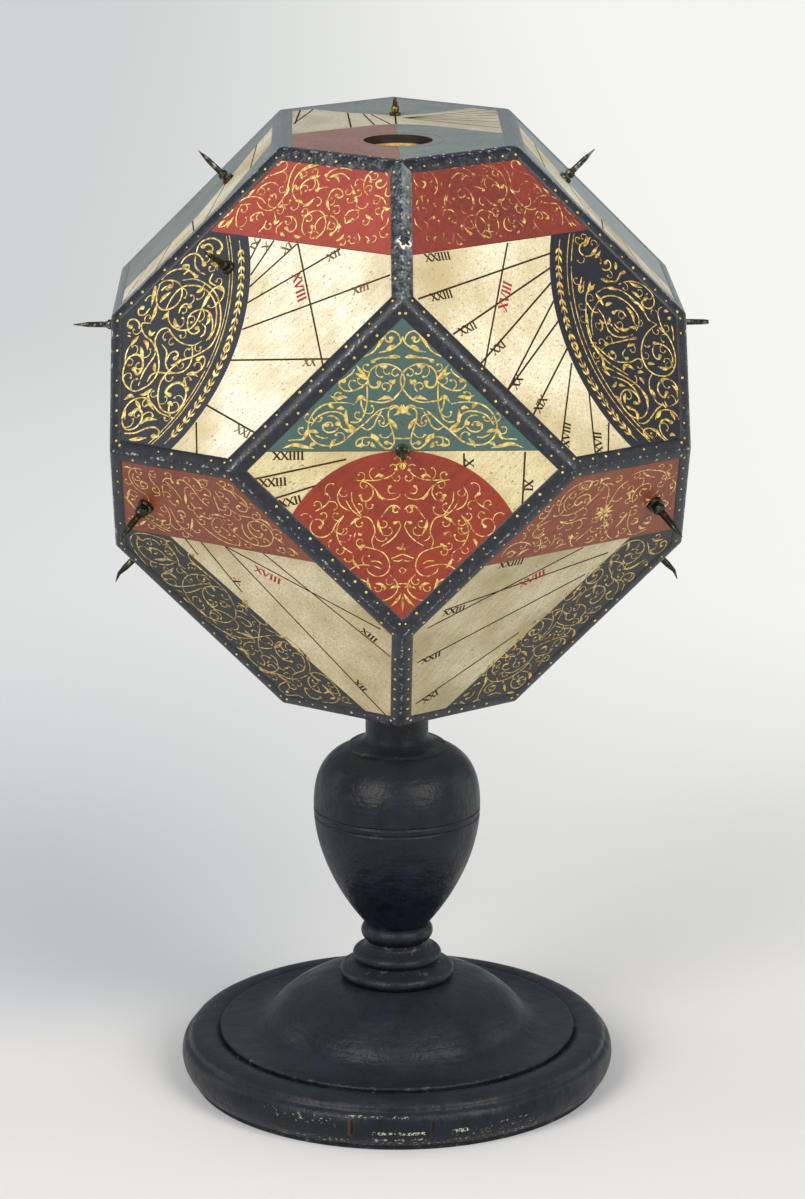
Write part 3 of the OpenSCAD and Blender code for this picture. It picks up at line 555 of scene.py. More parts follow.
# Right half of each field on the upright square
FRONT_TEAL = [
    ("drop", 0.6, 46.4, 1.4, 49, 3.3, 50.4, 5.2, 50, 6.2, 48.4, 5.6, 46.8, 4.2, 46.6, 3.9, 47.9),
    ("line", 4.2, 50.3, 6.4, 48.8, 8, 46.5, 10.2, 43.2, 13.6, 41.2),
    ("leaf", 6.2, 48.6, 7.8, 46.8, 8.6, 44.4), ("line", 0, 48.6, 0.7, 46.4, 2.2, 45, 4.5, 43.6, 8.3, 42.8),
    ("leaf", 2.8, 45.4, 4.4, 44.6, 6, 43.6), ("leaf", 0.8, 41, 2.6, 41.3, 5.2, 41.4),
    ("drop", 3.4, 40.8, 6, 40.9, 8.6, 40.6, 10.4, 39.7),
    ("drop", 3, 26.3, 1.3, 28, -0.2, 30.2, -0.7, 33, 0.4, 35.8, 2.6, 37.6, 5.7, 38.6, 9, 38.1, 11.3, 36.2,
     12.2, 33.3, 11.7, 31, 10.2, 30, 8.5, 30.5, 8.3, 31.9),
    ("leaf", 5, 38.3, 6.6, 37.5, 8.2, 38), ("drop", 5.2, 28.6, 4.4, 29.6, 4.1, 31, 4, 32.2),
    ("leaf", 4.2, 31.2, 3.2, 32, 2.6, 33.2), ("leaf", 3.6, 25.6, 5.6, 26.6, 8.9, 25.5),
    ("line", 1.2, 27.8, 3.5, 25.7, 7, 24.7, 10.5, 25, 13, 25.4), ("leaf", 12.2, 33, 14.2, 35.2, 16.3, 38.3),
    ("leaf", 12.2, 32.8, 14.8, 34.4, 17, 35.4),
    ("drop", 12.3, 32.4, 14.3, 30.4, 17.2, 29.1, 20.3, 29, 22.2, 30.6, 22.2, 32.2, 20.9, 32.5),
    ("line", 17, 36.8, 18, 35.2, 20.8, 33), ("line", 12.6, 32, 12.5, 28, 12.7, 24, 13.4, 20.8),
    ("line", 14.8, 27, 14.6, 24, 13.5, 20.8), ("leaf", 13, 25.2, 14.8, 26.8, 16.9, 24.4),
    ("line", 13.5, 20.8, 14.5, 18.6, 16.2, 17.5, 18.5, 17.6),
    ("leaf", 19.4, 26.5, 21.2, 26.7, 23.2, 26.2, 25.6, 27.2),
    ("line", 17.2, 24, 20, 24.6, 24, 24.7, 28, 23.8, 31, 21.6, 32.9, 18.6, 33.5, 15.2, 32.5, 12, 30, 9.7,
     27, 9, 24, 9.3, 21, 10.6, 18.5, 12.8, 16, 15, 13.5, 17, 11, 19.4, 8.5, 21.6, 6, 22.6, 4, 22.6),
    ("line", 19.4, 16.2, 20.4, 19.4, 22.8, 21.2, 26.5, 21.2, 30, 19.6, 32.4, 16.4),
    ("drop", 22.6, 15.6, 24.2, 14.2, 26.6, 13.9, 28.3, 15.2, 28, 16.8, 26.9, 16.6),
    ("line", 21.8, 16, 22.8, 18.4, 24.6, 19.8, 26.6, 19.8), ("drop", 21.4, 15.4, 22.2, 16.4, 23, 17),
    ("line", 26.4, 12, 28.4, 11.8, 31, 12.9), ("leaf", 16.4, 14.6, 18.4, 15.9, 20.4, 17.6),
    ("leaf", 16.4, 14.6, 19, 14.4, 21.4, 15.3), ("leaf", 19.5, 16.6, 20.1, 19.4, 20, 22.2),
    ("leaf", 29.6, 13.6, 32, 14.4, 34.6, 13.6), ("leaf", 33.3, 15.4, 34.4, 13, 35.4, 10.9),
    ("line", 34.2, 12.8, 35.8, 11.4, 38, 11.2, 40.6, 11), ("leaf", 31.4, 7.9, 35, 8.7, 38.6, 9.4, 43, 8),
    ("leaf", 23.4, 11.6, 24.8, 10.2, 25.8, 8), ("leaf", 30.6, 9.8, 32.2, 9.6, 33, 8.4),
    ("leaf", 24.6, 22.4, 25.4, 23.6, 26.6, 24.2), ("leaf", 20.6, 22.2, 21.8, 22.8, 23.4, 22.4),
    ("leaf", 4.8, 22.8, 3.4, 23.4, 1.6, 22.6, 1.6, 20.8, 3.2, 20),
    ("drop", 3.2, 22.7, 4.8, 21.6, 5, 19, 4.2, 16, 3.2, 12.6, 3, 9.9, 4.2, 8.1, 6, 7.9, 8, 9.5, 10.5, 12.2),
    ("leaf", 1.9, 14.8, 3.2, 17, 4.7, 18.8), ("leaf", 8, 9.6, 9.4, 12, 11.4, 13.4),
    ("drop", 11.6, 12, 14, 11.9, 16.2, 10.8, 16.4, 9.1, 14.7, 9.1), ("drop", 3.5, 9.2, 4.5, 9.9, 5.7, 10),
    ("line", 7.4, 21.5, 9.2, 18.6, 10.2, 16.2, 12.4, 14.7, 14.6, 15.8),
    ("leaf", 9.6, 8.2, 10.8, 9.2, 10.8, 10.4), ("line", 0, 11.5, 2.8, 11.6),
    ("leaf", 0.2, 20.4, 0.6, 22.2, 0.2, 24),
]
FRONT_RED = [
    ("drop", 4.6, 1.4, 3.4, 2.1, 2.1, 1.4, 2.4, 0.1),
    ("line", 2, 0.2, 4, -2, 7, -3.3, 10.5, -3.8, 14.4, -3.6), ("leaf", 6.3, -2.4, 8.5, -1.8, 10, -2.8),
    ("leaf", 0, 2.8, -0.7, 1.4, 0, 0),
    ("line", 0.8, -8.8, 1.6, -10, 3.4, -10.7, 6, -10.7, 8.2, -9.4, 9.6, -7.2, 11.4, -5.2),
    ("leaf", 7, -11, 8.6, -9, 9.6, -7.2), ("drop", 2.4, -8.4, 4.4, -8.6, 5.2, -7.2, 4.4, -6),
    ("drop", 16.8, -3.6, 13.6, -4.2, 11.2, -5.8, 10.5, -8.6, 12, -11, 14.2, -11.3, 15, -9.4),
    ("line", 18.2, -8, 18, -11.2, 16.6, -14, 14.6, -16.8), ("line", 20.2, -11, 18.2, -14.4, 14.8, -17.4),
    ("leaf", 14.6, -17.4, 17, -18.4, 19, -20.6),
    ("line", 14.4, -17, 12, -17.6, 10.4, -20, 9.9, -23, 11, -26, 10.4, -28.6),
    ("drop", 17.4, -24.8, 16.6, -22.8, 15.2, -23.6), ("drop", 13.4, -27.2, 14.2, -28.2, 15.2, -28.4),
    ("leaf", 8.8, -18, 8.4, -21, 6.8, -24.2),
    ("drop", 21, -16.6, 23.6, -19.5, 25.6, -23, 28.6, -24.6, 31.8, -23.6, 33, -21, 32, -18.6, 29.8, -18,
     28.3, -19.4, 29.4, -21),
    ("line", 21, -17, 23, -20, 23.4, -24, 21.5, -28, 18, -30.6),
    ("drop", 31, -15, 27.4, -12.8, 25.8, -10.2, 27.2, -8.8),
    ("line", 21.6, -6, 23.2, -9.4, 22, -13, 18.8, -15), ("leaf", 25.2, -25.4, 26.2, -26.6, 26.4, -28.4),
    ("line", 0.6, -20.6, 2, -23.4, 4.4, -26, 7.6, -28), ("drop", 0.6, -20.6, 1.4, -19, 2.8, -19.4),
    ("leaf", 0, -29.6, 0, -28, 0, -26.2), ("leaf", 0.3, -29.4, 1.3, -28.8, 2.2, -28.4),
    ("drop", 1, -13.8, 2, -15.6, 3.4, -15.2, 3.2, -13.8),
    ("line", 0.4, -14.6, 2.6, -13, 4.8, -13.6, 6.6, -16, 8, -18),
    ("line", 14.6, -28, 10.4, -29, 6.8, -30.6, 5, -33.4, 4.8, -36.4, 6.4, -38.6, 9.4, -39.2, 12, -37.8,
     12.8, -36.2),
    ("line", 7.6, -36.4, 11, -35.2, 15.6, -35, 19.4, -37), ("leaf", 15.4, -36.4, 17, -34.4, 18, -32.4),
    ("line", 7.4, -34.6, 9, -33.6, 11.4, -33.6), ("leaf", 13.6, -27, 14.6, -28, 15, -29.6),
    ("line", 4.6, -38.6, 2.2, -41.4, 1.9, -44.4, 4, -47, 7.2, -48.2, 10.2, -47, 11.6, -44.2, 12.6, -41.4),
    ("leaf", 9.8, -42, 8, -42, 6.2, -43.6, 7, -44.4), ("leaf", 11.2, -44.4, 12.4, -41.6, 12.4, -39.4),
    ("line", 12.6, -41.6, 14.6, -40.4, 16.4, -40.2), ("leaf", 0.6, -43.2, 3, -43, 4.6, -43.8),
    ("line", 0, -41.9, 2.4, -42.2), ("leaf", 0.4, -45.6, 2.2, -48.4, 4.4, -50.6),
    ("leaf", 0, -46.4, 0, -50, 0, -52.6), ("line", 0, -31, 2, -31.8, 4, -32.6),
    ("line", 0, -33, 1.4, -33.6, 3.4, -33.4), ("line", 0, -36, 1.2, -37, 0, -38.2),
]
LOWER_LEFT_NAVY = [
    ("line", -34.6, 18, -38, 18.8, -42, 19.4, -46.8, 19.2, -50.4, 17.6, -52.6, 14.6, -53, 11, -52.2, 7.4,
     -50.6, 3.8, -48, -0.2, -47, -1.6),
    ("line", -34, 7.4, -38, 5, -42, 4.2, -46, 4.8, -49, 7, -50.4, 10.4, -49.8, 14, -48.4, 16.4),
    ("leaf", -48.8, 18.4, -47.6, 16, -45.8, 15.4), ("line", -46.4, 15.4, -44, 17, -41, 17, -38.6, 14.8),
    ("leaf", -45, 9.2, -44.4, 12, -41.4, 12.4),
    ("drop", -43.4, 12.2, -40.4, 11.8, -38.8, 9.6, -39.8, 7, -42.2, 6.4),
    ("leaf", -45, 6.2, -41, 7, -38, 7.6, -34.2, 7.2), ("leaf", -36.6, 19.4, -34.6, 17.6, -32.6, 18.2),
    ("leaf", -35.8, 17.2, -34.6, 14.4, -33.4, 11),
    ("line", -34.4, 16, -33.4, 12, -33, 8.4, -33.6, 5, -32, 2, -30, 0.6),
    ("line", -33.4, 18.6, -31.6, 16.4, -31, 13.4, -29.4, 11.4, -27.6, 11.6),
    ("drop", -26.6, 9, -27, 11.8, -25.8, 13, -24.6, 12.4), ("leaf", -26.8, 9.8, -23.8, 5.8, -20, 2.2),
    ("line", -24.6, 6, -20.6, 2.4, -17.4, -1.2, -15.4, -5.2, -14.8, -10, -15.2, -14.6, -17, -18.4),
    ("line", -29.4, 6.2, -27.6, 8, -25.8, 7.6),
    ("line", -20.6, 2.2, -26, 2.4, -30.6, 1.2, -34, -1.6, -36.2, -5.4, -36.6, -10, -35.2, -14.6, -32.6,
     -18.6),
    ("line", -16.4, -4.2, -19, -2.6, -22.6, -3, -25.8, -4.4, -27.8, -7.4, -27.8, -11, -26.4, -14, -24,
     -15.6),
    ("line", -44.6, -3.6, -43.2, -5.6, -40.4, -6.4, -36, -5.8, -31, -4.2, -26, -2.4, -22, -1.6),
    ("line", -40, -8.4, -37.6, -9.2, -34, -8.4, -30, -6.4, -27, -4.6),
    ("drop", -20.6, -9.8, -18.6, -10.4, -17.4, -12.2), ("leaf", -27.8, -10.4, -26.8, -13.4, -24.8, -14.6),
    ("leaf", -22.6, -0.8, -21.4, -3.6, -21.6, -6.8),
    ("line", -27.4, -23.6, -28.8, -20, -27.6, -16.8, -24.4, -15.4, -20.6, -16.4, -17.6, -19, -16.8, -22,
     -18.6, -24.4, -21.4, -24.4),
    ("line", -32.8, -17.6, -30, -20.4, -26, -21.6, -22, -21.4, -18.6, -19.6),
    ("leaf", -34.2, -16, -32, -18.6, -31, -21.2),
    ("drop", -34.4, -13.4, -33.4, -10.6, -31, -10.4, -30.6, -12.2),
    ("line", -33.6, -20.4, -31, -23, -27, -26, -22.6, -28, -17, -28.4, -11.4, -27, -6, -25, -1, -23.4, 3,
     -23.4, 6.4, -25.4, 9, -29, 10.2, -33.4, 10, -38, 8, -41.8),
    ("leaf", -25.2, -26.4, -22.6, -28.8, -20.4, -30), ("leaf", -19.2, -25.6, -15.4, -26.2, -12, -27.6),
    ("leaf", -14.6, -23.8, -13, -26.4, -11.8, -29.2),
    ("line", -5.4, -17.6, -7.4, -22.6, -9.8, -27.6, -11, -31.6, -10.8, -35.4),
    ("line", -17, -17.6, -14, -16.8, -11, -18.4, -10.4, -20.6, -12.6, -21.2, -14.6, -19.4),
    ("line", -14.8, -13.6, -12, -13.8, -9.6, -15.4), ("leaf", -12.2, -9.2, -9.6, -10.6, -6.8, -10),
    ("leaf", -10, -15, -9, -11, -7.2, -7.4), ("drop", -9.6, -10, -9.4, -7.6, -8, -7.4),
    ("drop", -9.4, -13, -7, -15.6, -5.4, -18, -3, -18.6, -1.8, -17.4),
    ("leaf", -0.2, -22.4, 2.4, -23.8, 4.4, -23), ("line", -4, -20.4, -1.6, -21.8, 1, -21.6),
    ("drop", -1.4, -48, -0.6, -44.6, 2.4, -42.2, 6, -40.2, 8.2, -36.6, 8.4, -32, 6.4, -28.2, 3, -26.2,
     -0.6, -27, -3, -29.8, -3.2, -33.4, -1.2, -36.2, 2.2, -36.4),
    ("leaf", -3.8, -30.2, -1, -29, 1.8, -26.2), ("drop", 8.6, -29.6, 10.2, -31, 10.8, -33),
    ("line", -12, -29.8, -15.4, -30.2, -18.2, -32.4, -19.2, -36, -18, -40, -15.4, -43, -12, -44.6, -8.6,
     -44.2, -6, -42, -5.2, -39),
    ("leaf", -22.2, -34.4, -19.6, -35.4, -16.8, -35), ("leaf", -20.4, -33.2, -19.4, -35.6, -17.8, -38.2),
    ("drop", -15, -40, -12.6, -41.6, -11.4, -39.4, -12, -37, -10, -36, -7.8, -37),
    ("line", -7.4, -34.6, -5.6, -36, -5, -38.4, -6.4, -40.4), ("line", -10.8, -32, -7.6, -31.8, -4.8, -31),
    ("line", -15.4, -43.4, -12.6, -45.2, -9, -45, -6, -45.4, -2.4, -46.4, 1.6, -45.6, 5, -43.8, 8, -41.8),
    ("leaf", -15.8, -44.2, -13, -45.4, -10.2, -44.6), ("leaf", -7.8, -45.6, -5.2, -47.4, -2.8, -48.8),
    ("drop", -4.4, -48.4, -6.6, -49.6, -9.2, -51.6, -9.6, -54, -8, -55.2, -6.2, -54.2),
    ("line", -4.6, -48.6, -4.2, -51.4, -6, -53.4), ("line", -8.6, -56.2, -5.6, -56, -1.6, -55, 0.4, -56),
    ("line", 8, -41.8, 11, -40, 14.4, -40.4, 17, -42.2, 18.6, -45.4, 19.2, -49.4, 17.6, -53, 14, -55.4, 9,
     -56),
    ("leaf", 9.4, -41.8, 10.8, -43.6, 12.8, -44),
    ("drop", 10.6, -40, 8.6, -42.4, 6.6, -45, 6.2, -48, 8, -50.2, 11.4, -50.8, 14, -49.6),
    ("leaf", 12.4, -45.8, 13.6, -47.4, 16.2, -51.6),
    ("drop", 5.4, -50.4, 3.4, -50, 3, -52.4, 4.4, -54.6, 7, -55, 9.2, -53.8),
    ("leaf", 16.4, -54.2, 18.6, -51, 20, -49), ("line", 18.6, -52.4, 21, -53.8, 23.4, -53.4),
    ("leaf", 13.8, -53, 15.6, -52.6, 17, -51.4),
    ("drop", -38, 1.6, -41.4, -0.4, -44, -1, -44.6, -3, -43, -3.6),
    ("leaf", -43.2, -0.4, -39.6, 1.4, -36.8, 3.6), ("leaf", -40.6, 0.2, -38.6, -1, -37.4, -2.8),
    ("leaf", -38.4, -11.8, -37.4, -13.6, -36.2, -14.4),
]
LOWER_LEFT_RED = [
    ("line", -31.6, 53.6, -34.4, 53.8, -37.6, 52.2, -39.4, 48.8, -39, 45, -37.6, 42.4, -35, 40.8),
    ("drop", -36.4, 51, -38, 48.4, -37.4, 45.2, -35, 43.6, -32.6, 44.6, -32.4, 46.8, -34, 47.2),
    ("leaf", -41.2, 52.6, -39, 53.6, -36.4, 53.4),
    ("line", -26, 54, -28.6, 53, -29.4, 50, -28.6, 47, -27.4, 44.6, -28.4, 41.6, -31, 40.8),
    ("drop", -26.4, 41.4, -25.6, 45, -24.2, 48.6, -22, 51, -19.6, 51.2, -19.4, 49.6),
    ("line", -22.6, 49.6, -20.4, 47, -19, 43.6, -18.4, 41.4),
    ("drop", -6.8, 40, -9, 42.8, -10.4, 46.6, -11.8, 49.6, -14, 51.6, -16.2, 51.2, -16.8, 49.6),
    ("leaf", -17.2, 39.4, -16.2, 42.4, -15.4, 45.2), ("line", -15.4, 45.4, -14.4, 47.6, -12.6, 48.6),
    ("leaf", -8.6, 54, -6.8, 52.4, -6.2, 49.4), ("leaf", -6.4, 52.8, -4, 53.8, -1.6, 53.4),
    ("drop", -6.6, 49.6, -4.4, 49.4, -3, 47.6, -4, 45.8, -6, 46),
    ("line", -2.2, 46.4, -2.4, 42, -2.6, 38.4),
    ("line", -0.6, 49, 0.2, 45.4, 2, 41.8, 4.8, 39.2, 8, 38.2, 11.6, 38.2, 14.6, 36.8),
    ("drop", 2.6, 50.6, 6, 50.4, 9.4, 48.8, 11.6, 46, 11.8, 43, 10, 40.8, 7.6, 40.8, 6.6, 42.6, 8, 43.2),
    ("line", 1.8, 53.6, 4, 51.6, 7, 49.4, 8.4, 46.6), ("leaf", 8.8, 45.2, 10.4, 44.6, 11.6, 43.2),
    ("drop", -24.6, 40, -23.4, 38, -21, 38.2, -20.8, 40), ("leaf", -23.2, 34.4, -21, 35.4, -19.4, 34.2),
    ("drop", -14.6, 40.6, -13.6, 38.4, -11, 38.6), ("drop", -15, 36.4, -14, 33.6, -12, 34.4),
    ("line", -11.4, 34.4, -9, 33.6, -7, 35), ("leaf", -7.2, 36, -4.4, 36.6, -1.2, 36),
    ("line", -40, 29, -37.4, 26.6, -34, 24.4, -30.6, 23.2), ("line", -39.4, 26.6, -36, 24, -33, 22.6),
    ("line", -28.2, 37, -27.4, 33.6, -28, 30, -29.4, 27, -31.6, 26.4),
    ("drop", -33, 31.6, -31, 31, -30.6, 28.8, -32, 28.2),
    ("line", -26, 36, -25.6, 32, -25, 28, -23, 24.6, -20.6, 22.6),
    ("leaf", -17, 32.6, -18.4, 29.2, -20.6, 25.4),
    ("line", -15.6, 32.4, -13.6, 29, -10.4, 25.6, -7, 23.2, -3, 22.2, 1, 22.4),
    ("line", -9.4, 30, -8, 27, -5, 25, -2, 24), ("line", -9, 30.4, -7.6, 33, -5.8, 34.8),
    ("drop", -2, 35, -1, 31.4, 0.8, 28.4, 3.2, 26, 6.6, 24.4, 10.4, 24, 14.2, 25, 17, 27.6, 18.4, 31, 17.6,
     34.6, 14.8, 36.6, 11.4, 36.4, 8.8, 34.4, 8.2, 31.4, 9.6, 28.8, 12.2, 28.6, 13.4, 30.4),
    ("leaf", 0.2, 28.8, 1.6, 30.8, 3.4, 31.6), ("drop", -5.6, 31, -3.4, 29.6, -2, 27.4, -3.4, 26.4),
    ("line", 5.8, 34, 5.2, 31, 5.6, 28.4, 7.4, 26.2), ("leaf", 15.2, 38.4, 18, 37, 19.4, 34),
    ("leaf", 18.4, 30.2, 20.6, 28.8, 22, 27.2), ("leaf", 23.2, 25.8, 25.4, 24.4, 26.6, 22.8),
    ("line", 17.4, 24, 18.8, 22.6), ("leaf", -45, 37, -43.4, 39.6, -41.4, 42.6),
    ("leaf", -45.8, 38, -44.4, 35, -43.4, 31.6), ("leaf", -44.4, 23.8, -42, 25.6, -40.2, 26.8),
    ("drop", -49, 26.4, -47, 26, -46, 27.4),
]
LOWER_RIGHT_NAVY = [
    ("drop", 29, 3.6, 28, 7, 28.4, 11, 30.4, 14.4, 34, 16.2, 38, 16, 41.2, 13.8, 42.8, 10.4, 42, 7, 39.6,
     4.6, 36.6, 4.6, 34.6, 6.6, 34.8, 9, 36.4, 9.4),
    ("leaf", 32.8, 16.8, 34, 14, 34, 11.4), ("line", 26.8, 7.6, 28.4, 7.4, 32, 6.4, 35, 4.8, 36.4, 3),
    ("leaf", 27.8, 8.6, 29, 6.4, 29.8, 3.6), ("line", 29, 4, 30.6, 1.6, 31.8, 0),
    ("leaf", 36.4, 1.6, 39.4, 1.4, 42, 2.2, 46.2, 4.8), ("leaf", 37.6, 4.2, 37, 2.4, 38.6, 1),
    ("leaf", 44.4, 15.8, 47, 13.8, 50.8, 14), ("line", 42.6, 14.6, 44.6, 11.4, 46.4, 8.2, 49, 6.4),
    ("leaf", 45.8, 9, 47.8, 7.4, 49.8, 6.6),
    ("drop", 49.4, 6.8, 51.8, 6.8, 53.4, 8.6, 53.4, 11.4, 51.8, 12.8, 50.4, 11.8, 51.2, 10.2),
    ("drop", 45.6, 2.6, 46.8, 3.6, 48.2, 2.8, 47.8, 1.4),
    ("drop", 21.4, 6.4, 19.8, 3.8, 19.6, 0.4, 21.4, -2.2, 24.6, -2.6, 26.8, -0.4, 26.6, 2.8, 24.4, 4.4,
     22.2, 3.2, 22.6, 1.2),
    ("leaf", 21, 5.6, 22.6, 5.2, 24.6, 5.6), ("line", 22, 6.6, 24, 7.6, 25.8, 7.4),
    ("line", 31.6, 2, 32.4, -1.4, 35, -3.4, 37.6, -6, 38.6, -9.6, 37.4, -13),
    ("drop", 35.4, -3.6, 38.8, -4.6, 41, -7.6, 40.6, -11.2, 38.6, -13.6, 35.6, -13.4, 33.8, -11, 35, -9.6),
    ("drop", 37.6, -4, 38.6, -1.8, 41.4, -1.2, 43.8, -2.6, 44, -5, 42.6, -5.8),
    ("drop", 20, -12, 20.4, -8, 23, -5.6, 27, -4.8, 30.8, -6.2, 32.4, -9.4, 31.4, -12.8, 28.8, -14.2, 26.8,
     -12.6, 27.4, -10.8, 28.8, -10.8),
    ("leaf", 25.8, -2.8, 26, -6, 26.8, -8.8), ("leaf", 22.8, -8.8, 24.4, -9.4, 25.8, -8.2),
    ("line", 19.6, -13, 22.6, -13.2, 25.4, -15, 26.8, -18, 25.4, -20.6),
    ("drop", 26.8, -18.6, 30.4, -19.4, 33.6, -18.2, 33.4, -16.4, 31.8, -16.8),
    ("drop", 12.8, -5, 12.6, -8, 14.8, -9.4, 17, -7.8, 16.4, -5.8),
    ("leaf", 18.8, -1.4, 17.4, -4.2, 17, -7.2), ("leaf", 17.2, -10, 19, -8.6, 20, -6.2),
    ("leaf", 15.2, -15, 17, -16.8, 19, -17),
    ("drop", 17.6, -16.8, 18, -19.4, 20.2, -20.8, 22.4, -19.8, 22, -18.2),
    ("line", 16.8, -11, 14, -11.4, 14.6, -15.6, 14.2, -20, 13.6, -23),
    ("line", 13.8, -20, 16.4, -22, 20, -23.6, 24, -24, 26.6, -22),
    ("leaf", 25.8, -20.2, 26.4, -22.4, 25.6, -24.2),
    ("line", 14.4, -22.6, 19, -24.6, 23.4, -26, 26, -28.4, 26, -31.4),
    ("leaf", 25, -26.4, 26.2, -29.4, 25.8, -32.6), ("drop", 26.8, -24, 29, -23.6, 29.6, -21.4, 28.4, -20.6),
    ("drop", 0.4, -28, -0.4, -24, 0.2, -20.4, 2.8, -17.8, 6, -18, 8, -21, 7, -24.4, 4, -25, 2.4, -23.2,
     3.6, -22.2),
    ("line", 5.4, -14.2, 7.4, -14.6, 10.6, -13.6, 13.4, -13.4),
    ("line", 3.8, -16.6, 6.4, -17, 10, -18, 13.6, -20.4),
    ("line", 9.4, -14, 11.6, -18, 12, -22, 10.4, -26, 7.6, -29.4),
    ("line", 13.4, -22.8, 12, -26, 9.6, -28.6), ("leaf", 11.8, -16.8, 12.6, -15, 14, -14.4),
    ("leaf", -2.4, -26, -0.4, -25.6, 1, -23.2), ("leaf", 7.4, -25.2, 9, -26.8, 9.4, -29),
    ("line", 9.6, -29, 12, -28.6, 14, -28),
    ("drop", -1, -33.4, -4, -33.4, -5.4, -31.4, -4.8, -29, -2.8, -28.2, -1.4, -29.4, -2.2, -30.8),
    ("line", -5, -33.4, -2.6, -34.4, 0.4, -34.6), ("line", 0, -27.6, 2, -30, 5, -31, 8, -31.8, 9.4, -34.4),
    ("leaf", 6.8, -30.4, 8.4, -32.4, 10.6, -31.6), ("leaf", 8.2, -31.2, 8.6, -33, 8, -34.6),
    ("line", 9.6, -31.8, 13, -30.6, 17, -29.8, 21, -29.4, 24, -30),
    ("drop", 17.6, -34, 18, -31.6, 20.2, -30.4, 22.6, -31.4, 23.2, -33.6),
    ("leaf", 11.8, -34.2, 13.6, -33.2, 15.2, -33.8),
    ("drop", 9.4, -35.4, 11.4, -37.4, 14.4, -37.6, 17.2, -37, 17.6, -35.4),
    ("line", 14.8, -37.6, 15.4, -40.6, 14.6, -43.4), ("line", 15.2, -40.6, 17.2, -41.6, 18.8, -41.4),
    ("line", 9.4, -34.6, 9.6, -38, 8, -42, 5, -45.2, 1, -47, -3.6, -47.2, -7.6, -45.6, -10.2, -42.6, -11,
     -39, -10.2, -36, -8.2, -34.2),
    ("drop", -7.6, -33.8, -4, -34.4, -0.4, -34.8, 1.6, -37, 1.2, -40, -1, -41.6, -3.4, -40.6, -3.2, -38.4,
     -1.8, -38.4),
    ("leaf", 2.4, -32.8, 4.6, -34, 6.4, -36.2), ("drop", 3.6, -37.2, 5.4, -37, 6.2, -39),
    ("line", -1.4, -43, 2.6, -43.8, 6.2, -42, 8.6, -39), ("leaf", -9.4, -35.8, -8.6, -37.6, -8.2, -40.2),
    ("line", -8.6, -39.6, -7.4, -41.8, -5.8, -43), ("leaf", -10.4, -42.4, -9.2, -46, -9.4, -49.6),
    ("line", -9.4, -48, -9.8, -52, -9.4, -56),
    ("drop", -4, -47.2, -7, -48.2, -7.8, -50.6, -6, -52.4, -3.4, -51.6, -3, -49.6, -4.4, -49.4),
    ("leaf", -0.6, -47.2, 1.6, -51, 4, -55.2), ("line", -5, -54.2, -1.6, -53.6, 1.4, -54.6),
    ("drop", 4.4, -47.4, 4.6, -50.6, 6.6, -53, 9.6, -53.4, 11.4, -51, 10.6, -48.4, 8.2, -47.8, 7.6, -49.6),
    ("line", 7.4, -44.4, 10.4, -45.4, 12.4, -48, 13, -51), ("leaf", 11.4, -45.8, 13, -48, 13, -50.8),
    ("leaf", 4, -55, 6.4, -55.4, 9, -56), ("leaf", -18.4, -50.2, -16.8, -51.2, -15, -50),
    ("drop", -15.4, -48.6, -14, -46.4, -12.4, -46), ("drop", -12.6, -50, -13.4, -52.8, -15.2, -53.2),
    ("leaf", -20.8, -54.6, -17.8, -54.6, -15, -56), ("drop", -14, -42.8, -13, -41, -11.8, -41.8),
    ("leaf", -11.4, -56, -9.6, -55.4, -7.6, -56),
]
